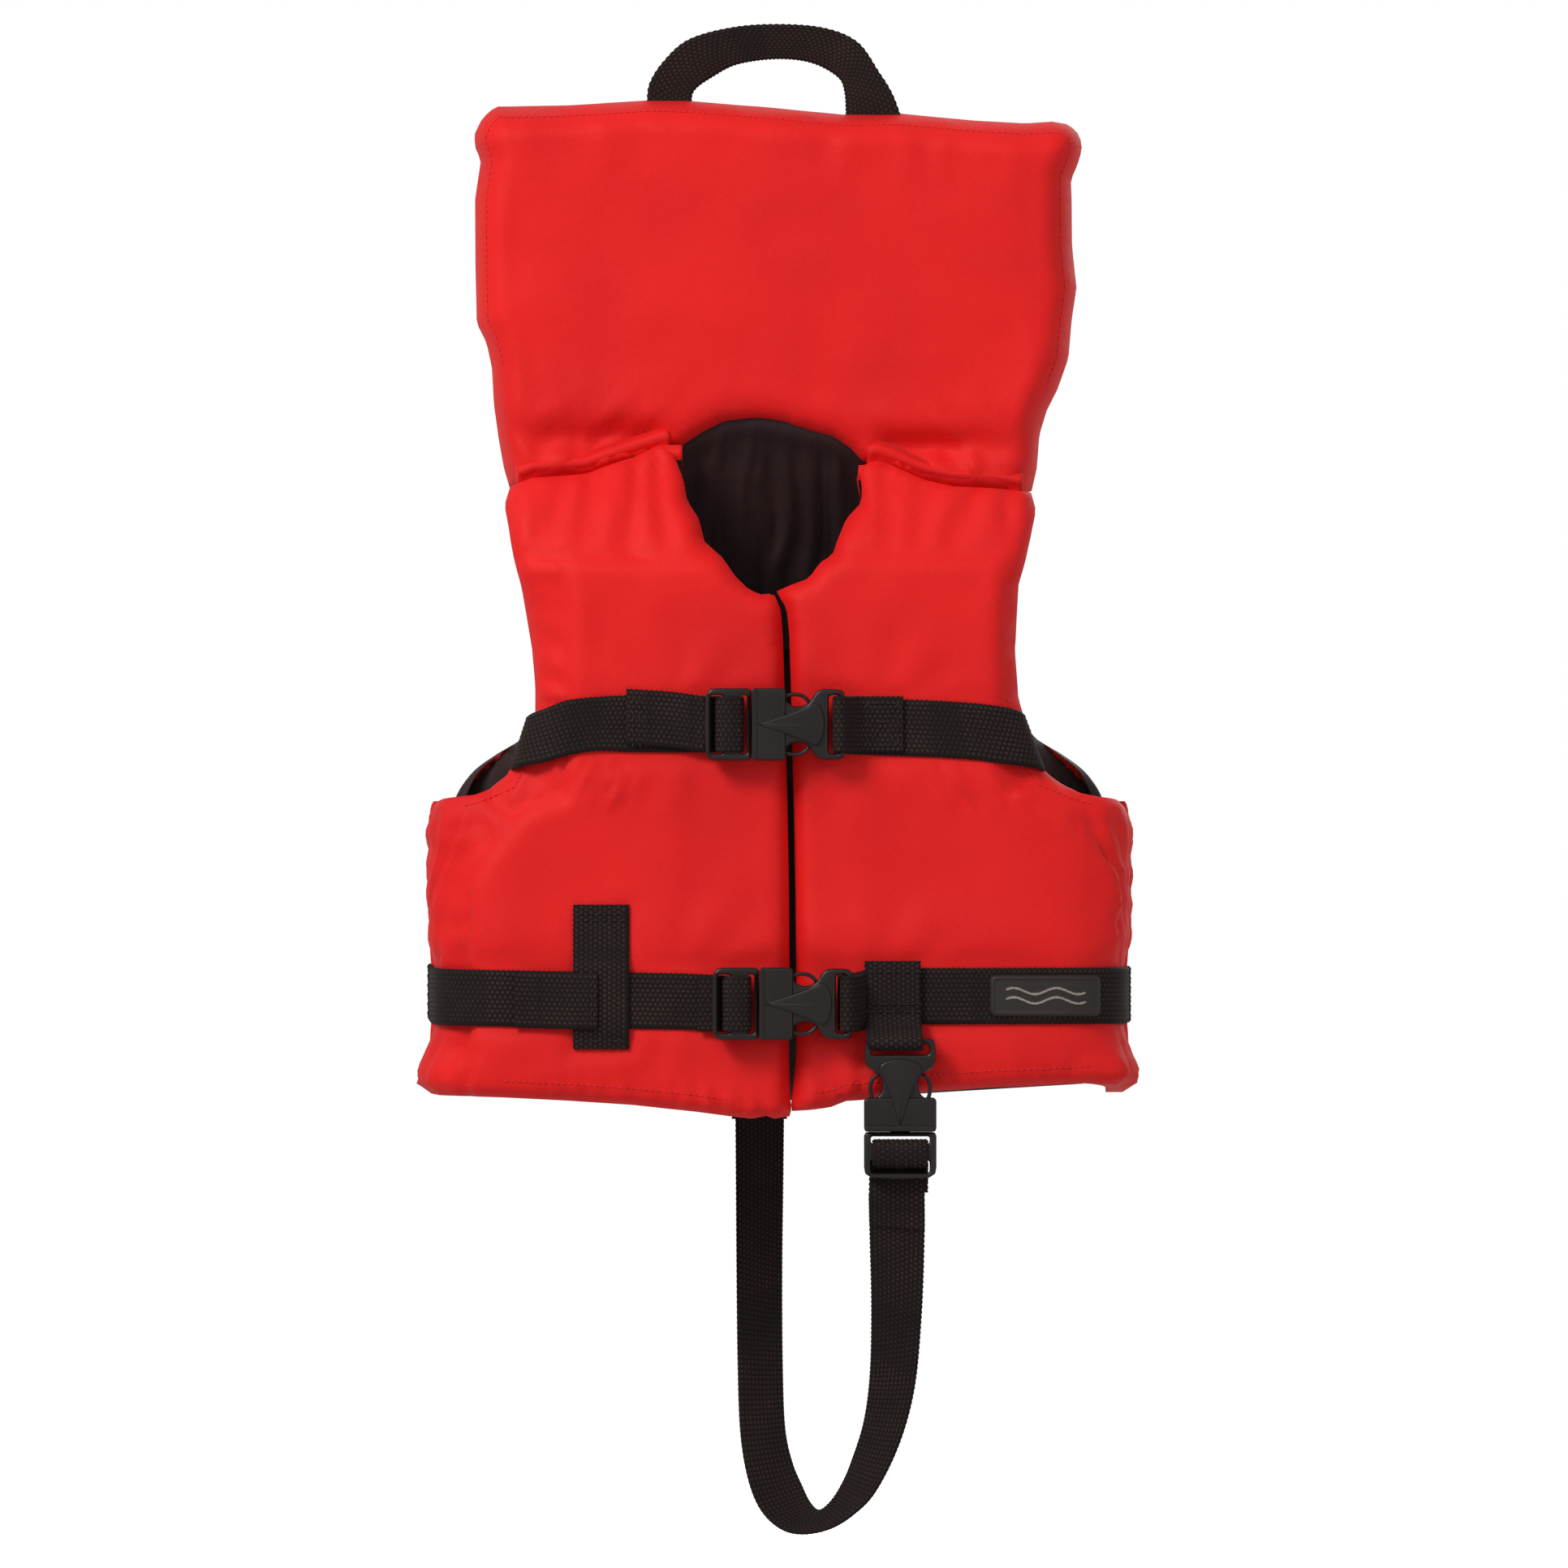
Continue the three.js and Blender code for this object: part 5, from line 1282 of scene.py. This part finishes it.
WAIST = [(1.4, 13.6), (2.8, 11.0), (5, 8.7), (8.5, 7.9), (12.0, 8.6), (14.4, 10.8), (16.2, 14.2), (18.6, 15.9), (22.4, 16.1), (28.3, 15.8)]
ARM = [(-12.4, 8.2), (-12.4, 11.2), (-4, 12.0), (0, 12.7), (3.2, 13.9), (7, 14.7), (10.8, 14.0), (13.4, 12.0), (14.3, 9.6), (13.0, 9.0), (12.0, 10.9), (10, 12.3), (7, 12.9), (3.5, 12.1), (0, 10.6), (-8, 8.4)]
BUCKLE = {}
for kind in ('upper', 'lower', 'crotch'):
    mouth = plate(f"{kind}_mouth", rrect(-12.5, 3.0, -16.4, 16.4, 2.0), -5.5, 5.5, 1.3)
    # the mouth's sides sweep in to the waist
    box_cut(mouth, -14, 2.2, -14.6, 14.6, -3.5, 3.5)
    w = WAIST + [(30.0, 14.0)]
    outline = [(-6, 8.4)] + w + [(u, -v) for u, v in w[::-1]] + [(-6, -8.4)]
    waist = plate(f"{kind}_waist", resample(chaikin(outline, 2), 0.7, closed=True), -4.4, 4.4, 1.3, [rrect(22.4, 27.2, -13.3, 13.3, 1.6)])
    # a raised facet on top of the socket, and a lip along the mouth's edge on each face
    parts_ = [mouth, waist]
    facet = plate(f"{kind}_facet", chaikin([(-11.2, 0), (-4, -2.0), (4, -4.6), (11, -7.2), (16.8, -10.2), (19.6, -6.5), (20.8, 0), (19.6, 6.5), (16.8, 10.2), (11, 7.2), (4, 4.6), (-4, 2.0)], 2), 3.4, 6.2, 0.9)
    lip = plate(f"{kind}_lip", rrect(-12.4, -9.9, -16.2, 16.2, 1.1), 3.6, 6.05, 0.6)
    lip2 = plate(f"{kind}_lipb", rrect(-12.4, -9.9, -16.2, 16.2, 1.1), -6.05, -3.6, 0.6)
    BUCKLE[kind, 'socket'] = place(join(parts_ + [facet, lip, lip2], f"{kind}_socket_shell"), kind)
    frame_ = plate(f"{kind}_frame", [(-33.9, 0), (-33.6, 9), (-33.0, 13.6), (-31.4, 15.9), (-28.6, 16.4), (-14.2, 16.4), (-12.8, 15.6), (-12.6, 14), (-12.6, -14), (-12.8, -15.6), (-14.2, -16.4), (-28.6, -16.4), (-31.4, -15.9), (-33.0, -13.6), (-33.6, -9)], -4.4, 4.4, 1.2, [rrect(-31.2, -25.4, -13.3, 13.3, 1.3), rrect(-17.8, -14.6, -13.3, 13.3, 1.0)])
    guide = plate(f"{kind}_guide", rrect(-14.2, 0.5, -4.4, 4.4, 1.5), -2.4, 2.4, 0.7)
    ridges = [plate(f"{kind}_rib{k}", rrect(-33.3, -31.9, -13.5 + 0, 13.5, 0.6), 3.6, 4.9, 0.4) for k in range(1)]
    BUCKLE[kind, 'plug'] = place(join([frame_, guide] + ridges, f"{kind}_plug_shell"), kind)
    for tag, sg in (('a', 1), ('b', -1)):
        arm = plate(f"{kind}_arm_{tag}_shell", resample(chaikin([(u, v * sg) for u, v in ARM], 2), 0.6, closed=True), -3.1, 3.1, 0.8)
        BUCKLE[kind, tag] = place(arm, kind)
    wrap = loop_web(f"{kind}_wrap_web", [(-40, -7.4), (-35, -6.7), (-31, -5.9), (-28.8, -3.6), (-28.2, 0), (-27.2, 4.0), (-24.6, 5.7), (-20.2, 5.7), (-17.4, 4.0), (-16.7, 0), (-17.0, -3.8), (-19.2, -6.0), (-24, -6.7), (-30, -7.7), (-36, -8.6)], 31 + len(kind))
    BUCKLE[kind, 'wrap'] = place(wrap, kind)

def over_bar(name, pts, kind, seed):
    P = spline(np.array([[u, 0, w] for u, w in pts], float), 200)
    e = np.array([0, 12.7, 0])
    return place(ribbon(name, P - e, P + e, 1.5, wave_seed=seed), kind)
# webbing loops at the sockets' slots (w = -77 - y)
bpy.data.objects.remove(upper_fold)
upper_fold = over_bar("upper_belt_fold_web", [(56.2, -8.7), (46, -8.7), (39, -8.2), (34.5, -5.0), (31.6, 0.6), (29.6, 4.6), (27.4, 5.6), (25.5, 4.2), (25.0, 0), (25.3, -4.2), (27.4, -7.6), (31, -9.6), (36, -10.4)], 'upper', 41)
lower_fold = over_bar("lower_belt_fold_web", [(50, -8.9), (42, -8.7), (37.5, -8.0), (34.0, -5.0), (31.6, 0.6), (29.6, 4.6), (27.4, 5.6), (25.5, 4.2), (25.0, 0), (25.3, -4.2), (27.4, -7.6), (31, -9.6), (36, -10.4)], 'lower', 42)
bpy.data.objects.remove(crotch_tab)
crotch_tab = over_bar("crotch_tab_web", [(64.8, -7.0), (56, -6.9), (46, -7.0), (39, -6.8), (35, -4.6), (31.9, 0.6), (29.8, 4.6), (27.4, 5.6), (25.5, 4.2), (25.0, 0), (25.3, -4.0), (27.4, -6.8), (31, -8.4), (36, -8.9)], 'crotch', 43)
V_ = coords(crotch_tab)
V_[:, 0] -= 2.2 + 1.2 * smooth(-452, -430, V_[:, 2])
set_coords(crotch_tab, V_)

V_ = coords(lower_fold)
V_[:, 2] += 3.4 * smooth(34, 46, V_[:, 0])
set_coords(lower_fold, V_)

# ------------------------------------------------------------------ blank rubber patch on the waist belt
def patch_f(height):
    s0, s1 = s_of_x(FRONT, 95.2), float(s_of_x(FRONT, 145.0))
    def f(u, v):
        s = s0 + (s1 - s0) * u
        x, y, nx, ny = on_plan(FRONT, s, True)
        off = T1 + 1.1 - 1.1 * smooth(128, 152, np.abs(s)) + height(u, v)
        z = -434.9 + 19.1 * v
        return x + nx * off, y + ny * off, z, nx, ny
    return f
def patch():
    nu, nv = 170, 66
    u, v = np.meshgrid(np.linspace(0, 1, nu), np.linspace(0, 1, nv), indexing='ij')
    W, H = 50.0, 19.1
    # squircle to round the corners
    r = 3.0
    U, Vv = (u - 0.5) * W, (v - 0.5) * H
    ku, kv = W / 2 - r, H / 2 - r
    dx, dy = np.maximum(np.abs(U) - ku, 0), np.maximum(np.abs(Vv) - kv, 0)
    m = np.hypot(dx, dy)
    k = np.where(m > 1e-6, np.maximum(dx, dy) / np.maximum(m, 1e-6), 1)
    U = np.sign(U) * (np.minimum(np.abs(U), ku) + dx * k)
    Vv = np.sign(Vv) * (np.minimum(np.abs(Vv), kv) + dy * k)
    dx, dy = np.maximum(np.abs(U) - ku, 0), np.maximum(np.abs(Vv) - kv, 0)
    dist = np.where((dx > 0) & (dy > 0), r - np.hypot(dx, dy), np.minimum(W / 2 - np.abs(U), H / 2 - np.abs(Vv)))
    border = 0.55 * np.exp(-((dist - 1.6) / 0.55) ** 2)
    g = lambda c: np.exp(-((Vv - c - 1.4 * np.sin(U / 3.0)) / 0.55) ** 2) * smooth(18.5, 16.5, np.abs(U))
    emblem = 0.5 * (g(-2.1) + g(2.1))
    height = 1.5 * np.sqrt(np.clip(dist / 0.8, 0, 1)) + border + emblem
    s0, s1 = float(s_of_x(FRONT, 95.2)), float(s_of_x(FRONT, 145.0))
    s = (s0 + s1) / 2 + U * (s1 - s0) / W
    x, y, nx, ny = on_plan(FRONT, s, True)
    base = T1 + 0.9 - 1.1 * smooth(128, 152, np.abs(s))
    z = -425.35 + Vv
    top = np.stack([x + nx * (base + height), y + ny * (base + height), z], -1).reshape(-1, 3)
    bot = np.stack([x + nx * (base - 0.4), y + ny * (base - 0.4), z], -1).reshape(-1, 3)
    n = nu * nv
    idx = np.arange(n).reshape(nu, nv)
    F = []
    for i in range(nu - 1):
        for j in range(nv - 1):
            a, b, c, d = idx[i, j], idx[i + 1, j], idx[i + 1, j + 1], idx[i, j + 1]
            F.append([a, b, c, d]); F.append([n + a, n + d, n + c, n + b])
    ring = list(idx[:, 0]) + list(idx[-1, 1:]) + list(idx[-2::-1, -1]) + list(idx[0, -2:0:-1])
    M = []
    for i in range(nu - 1):
        for j in range(nv - 1):
            M += [1 if emblem[i:i + 2, j:j + 2].mean() > 0.22 else 0, 0]
    for a, b in zip(ring, ring[1:] + ring[:1]):
        F.append([b, a, n + a, n + b]); M.append(0)
    o = make("name_patch_rubber", np.concatenate([top, bot]), F, [RUBBER, PRINT], M)
    outward(o)
    return o
name_patch = patch()

# crotch strap's upper end, which goes with the plug
k0 = int(np.argmin(np.abs((ca + cb)[-60:, 2] / 2 + 530))) + len(ca) - 60
kz = int(np.argmin(np.abs((ca + cb)[-60:, 2] / 2 + 517))) + len(ca) - 60
topA, topB = ca[k0:] + [0, -1.5, 0], cb[k0:] + [0, -1.5, 0]
topA = np.concatenate([topA, [[66.2, -71.6, -498]]]); topB = np.concatenate([topB, [[41.0, -71.0, -498]]])
strap_top = ribbon("crotch_strap_end_web", topA, topB, 1.6, weave=0.3, wave_seed=17)

# anchor of the crotch strap under the back hem
anchor = tab("crotch_anchor_web", -9, [61.6, 61.0, 60.5], [-464, -474, -482], seed=18)

# ------------------------------------------------------------------ seams and stitching
trees = {k: tree_of(o) for k, o in PADS.items()}
tree_b, tree_c = tree_of(back_pad), tree_of(collar)
def seam(tree, pts, direction, lift=0.25, step=2.0, start=200):
    P = resample(np.array(pts, float), step=step)
    H, N = cast(tree, P, direction, start)
    return (H + N * lift, N) if len(H) > 1 else (np.zeros((0, 3)), np.zeros((0, 3)))
def clean(runs):
    return [r for r in runs if len(r[0]) > 3]
red_runs = {'left_front': [], 'right_front': [], 'collar': [], 'back': []}
for side, hem, arm in (('left', LEFT_HEM, LEFT_ARM), ('right', RIGHT_HEM, RIGHT_ARM)):
    t = trees[side]; b = f"{side}_front"
    H = sorted(hem); H = [(x, -80, z + 7.6) for x, z in H if abs(x) < 148 and abs(x) > 14]
    red_runs[b].append(seam(t, H, (0, 1, 0)))
    sg = -1 if side == 'left' else 1
    A_ = [(x - sg * 5.2 * (0 if abs(x) > 126 else 1), -80, z - (5.2 if abs(x) > 118 else 0)) for x, z in arm if abs(x) < 150 and z < -286]
    red_runs[b].append(seam(t, A_, (0, 1, 0)))
for sgn in (-1, 1):
    Hb = [(x, 120, z + 7.6) for x, z in ((sgn * 4, -473.4), (sgn * 60, -470.5), (sgn * 110, -467.5), (sgn * 140, -466))]
    red_runs['back'].append(seam(tree_b, Hb, (0, -1, 0)))
red_runs['back'].append(seam(tree_b, [(0, 120, -474), (0, 120, -240)], (0, -1, 0)))
side_c = np.array(COLLAR_SIDE)
cc = side_c.mean(0)
inset_ = []
for i in range(len(side_c)):
    a, b = side_c[max(0, i - 1)], side_c[min(len(side_c) - 1, i + 1)]
    d = (b - a) / np.linalg.norm(b - a)
    nrm = np.array([d[1], -d[0]])
    if nrm @ (cc - side_c[i]) < 0:
        nrm = -nrm
    inset_.append(side_c[i] + nrm * 5.2)
inset_ = [p for p in inset_ if p[1] > -150]
for yd in (1, -1):
    red_runs['collar'].append(seam(tree_c, [(x, -yd * 80, z) for x, z in inset_], (0, yd, 0), lift=0.2))
SEAMS = []
for b, runs in red_runs.items():
    runs = clean(runs)
    if runs:
        SEAMS.append((stitches(f"{b}_topstitch", runs, THREAD_RED, pitch=2.9, length=2.1, r=0.33), b))

def box_stitch(x0, x1, z0, z1, y, cross=True, ny=-1):
    c = [(x0, y, z0), (x1, y, z0), (x1, y, z1), (x0, y, z1), (x0, y, z0)]
    runs = [(np.array(c[i:i + 2]), np.array([0, ny, 0])) for i in range(4)]
    if cross:
        runs += [(np.array([c[0], c[2]]), np.array([0, ny, 0])), (np.array([c[1], c[3]]), np.array([0, ny, 0]))]
    return runs
def bar_tack(x0, x1, z, y, ny=-1):
    return [(np.array([(x0, y, z + k * 0.9), (x1, y, z + k * 0.9)]), np.array([0, ny, 0])) for k in (-1, 0, 1)]
yb2 = -77 + 8.7 - 1.05
blk = {
    'right_front': box_stitch(39.5, 54.0, UPPER_Z - 9.6, UPPER_Z + 9.6, yb2) + [(np.array([(41.5, -71.3, -432.5), (65, -71.3, -432.5)]), np.array([0, -1, 0])), (np.array([(41.5, -71.3, -429), (65, -71.3, -429)]), np.array([0, -1, 0])), (np.array([(41.5, -71.3, -414.5), (65, -71.3, -414.5)]), np.array([0, -1, 0]))],
    'left_front': [(np.array([(-91.5, Y0 - T1 - 1.1, z), (-69.8, Y0 - T1 - 1.1, z)]), np.array([0, -1, 0])) for z in (-388.2, -391.2, -445.6)]
        + [(np.array([(-85.0, Y0 - T3 - 1.3, LOWER_Z - 11), (-85.0, Y0 - T3 - 1.3, LOWER_Z + 13)]), np.array([0, -1, 0]))],
    'upper_male': [(np.array([(x, Y0 - T2 - 1.5, UPPER_Z - 11), (x, Y0 - T2 - 1.5, UPPER_Z + 12)]), np.array([0, -1, 0])) for x in (-66.2, -63.0)],
    'back': [(np.array([(x - 11, 77.7, z), (x + 11, 77.7, z)]), np.array([0, 1, 0])) for x in (-78, 78) for z in (LOWER_Z + 32, LOWER_Z + 29.5, LOWER_Z - 21.5, LOWER_Z - 24)],
}
for b, runs in blk.items():
    SEAMS.append((stitches(f"{b}_belt_stitch", runs, THREAD_BLACK, pitch=2.7, length=2.0, r=0.34), b))

# ------------------------------------------------------------------ what each piece stands for and moves with
def stand(o, body, *nodes):
    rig.ride(o, body)
    if nodes:
        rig.replaces(o, *nodes)
for side in ('left', 'right'):
    b = f"{side}_front"
    o = PADS[side]
    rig.replaces(o, f"{b}_shell", f"{b}_lining", f"{side}_foam_outer", f"{side}_foam_inner", f"{side}_side_panel")
    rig.blend(o, b, 'back', (0, 0, -0.290), (0, 0, -0.197))
    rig.padded(o)
    y = YOKES[side]
    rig.ride(y, 'back'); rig.replaces(y, f"shoulder_{side}")
for o in SEAM_STRIPS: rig.ride(o, 'back')
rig.ride(back_pad, 'back')
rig.replaces(back_pad, 'back_shell', 'back_lining', 'back_foam_inner', 'back_foam_outer')
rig.padded(back_pad)
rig.replaces(collar, 'collar_front_cover', 'collar_back_cover', 'collar_foam_front', 'collar_foam_back')
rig.blend(collar, 'collar', 'back', (0, 0.006, -0.130), (0, 0.006, -0.177))
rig.padded(collar)
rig.replaces(neck_lining, 'neck_lining')
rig.blend(neck_lining, 'collar', 'back', (0, 0.006, -0.130), (0, 0.006, -0.177))
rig.replaces(neck_band, 'neck_band')
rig.blend(neck_band, 'collar', 'back', (0, 0.006, -0.130), (0, 0.006, -0.177))
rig.replaces(handle, 'grab_handle')
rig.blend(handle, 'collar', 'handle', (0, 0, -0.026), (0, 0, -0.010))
stand(upper_belt_left, 'left_front', 'upper_belt_left')
# the loose end comes out of the plug's adjuster, so it goes with the plug
stand(upper_tail, 'upper_male', 'upper_belt_tail')
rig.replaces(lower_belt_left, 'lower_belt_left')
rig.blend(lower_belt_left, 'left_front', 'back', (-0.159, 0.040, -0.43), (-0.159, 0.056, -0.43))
stand(lower_tail, 'left_front', 'lower_belt_tail')
stand(keeper, 'left_front', 'keeper_tab')
stand(upper_belt_right, 'right_front', 'upper_belt_right')
stand(upper_fold, 'right_front', 'upper_belt_fold')
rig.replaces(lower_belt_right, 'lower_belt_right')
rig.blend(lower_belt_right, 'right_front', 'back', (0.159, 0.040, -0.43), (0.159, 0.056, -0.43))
for side, g in GUSSETS.items():
    sx = -0.159 if side == 'left' else 0.159
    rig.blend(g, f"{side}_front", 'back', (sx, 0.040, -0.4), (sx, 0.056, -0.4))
stand(lower_fold, 'right_front')
stand(crotch_tab, 'right_front', 'crotch_tab')
stand(name_patch, 'right_front', 'name_patch')
stand(lower_belt_back, 'back', 'lower_belt_back')
stand(loops[0], 'back', 'back_loop_left')
stand(loops[1], 'back', 'back_loop_right')
stand(anchor, 'back', 'crotch_anchor')
stand(strap_top, 'crotch_male')
for kind in ('upper', 'lower', 'crotch'):
    stand(BUCKLE[kind, 'socket'], 'right_front', f"{kind}_socket")
    stand(BUCKLE[kind, 'plug'], f"{kind}_male", f"{kind}_plug")
    stand(BUCKLE[kind, 'wrap'], f"{kind}_male", f"{kind}_wrap")
    for tag in 'ab':
        stand(BUCKLE[kind, tag], f"{kind}_pinch_{tag}", f"{kind}_arm_{tag}")
for o, b in SEAMS:
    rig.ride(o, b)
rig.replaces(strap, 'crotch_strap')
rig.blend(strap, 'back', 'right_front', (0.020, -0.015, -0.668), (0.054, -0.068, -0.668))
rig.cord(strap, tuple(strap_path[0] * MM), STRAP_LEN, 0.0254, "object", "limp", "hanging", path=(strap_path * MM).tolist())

# ------------------------------------------------------------------ stage and light
def stage_pieces():
    k = Mat("pale_floor")
    k.b.inputs["Base Color"].default_value = (0.9, 0.9, 0.9, 1)
    k.b.inputs["Emission Color"].default_value = (1, 1, 1, 1)
    k.b.inputs["Emission Strength"].default_value = 0.85
    k.b.inputs["Roughness"].default_value = 0.9
    set_in(k.b, "Specular IOR Level", 0.1)
    a = 6000.0
    fl = make("pale_floor", [(-a, -a, -720), (a, -a, -720), (a, a, -720), (-a, a, -720)], [[0, 1, 2, 3]], [k.m])
    fl.visible_diffuse = False; fl.visible_glossy = False; fl.visible_shadow = False
    return fl
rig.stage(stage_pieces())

def area(name, loc, target, size, energy, color=(1, 1, 1)):
    d = bpy.data.lights.new(name, 'AREA')
    d.shape = 'RECTANGLE'; d.size, d.size_y = size
    d.energy = energy; d.color = color
    o = bpy.data.objects.new(name, d); COL.objects.link(o)
    o.location = loc
    o.rotation_euler = (Vector(target) - Vector(loc)).to_track_quat('-Z', 'Y').to_euler()
    return o
area("key", (-1.25, -1.6, 1.05), (-0.02, 0, -0.26), (0.8, 0.8), 33)
area("rear", (0.9, 2.4, 0.7), (0, 0, -0.32), (1.4, 1.4), 12)
area("fill", (1.7, -1.8, -0.1), (0, 0, -0.35), (1.4, 1.4), 2.2)
w = bpy.data.worlds.new("world"); scene.world = w
w.use_nodes = True
w.node_tree.nodes["Background"].inputs["Color"].default_value = (1, 1, 1, 1)
wt = w.node_tree
wt.nodes["Background"].inputs["Strength"].default_value = 0.5
seen = wt.nodes.new("ShaderNodeBackground"); seen.inputs["Color"].default_value = (1, 1, 1, 1); seen.inputs["Strength"].default_value = 1.0
lp = wt.nodes.new("ShaderNodeLightPath"); mx = wt.nodes.new("ShaderNodeMixShader")
wt.links.new(lp.outputs["Is Camera Ray"], mx.inputs[0])
wt.links.new(wt.nodes["Background"].outputs[0], mx.inputs[1])
wt.links.new(seen.outputs[0], mx.inputs[2])
wt.links.new(mx.outputs[0], wt.nodes["World Output"].inputs["Surface"])
scene.view_settings.view_transform = 'Standard'

try:
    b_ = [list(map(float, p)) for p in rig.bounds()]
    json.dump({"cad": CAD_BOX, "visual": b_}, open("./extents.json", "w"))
except Exception as e:
    print("size", e)
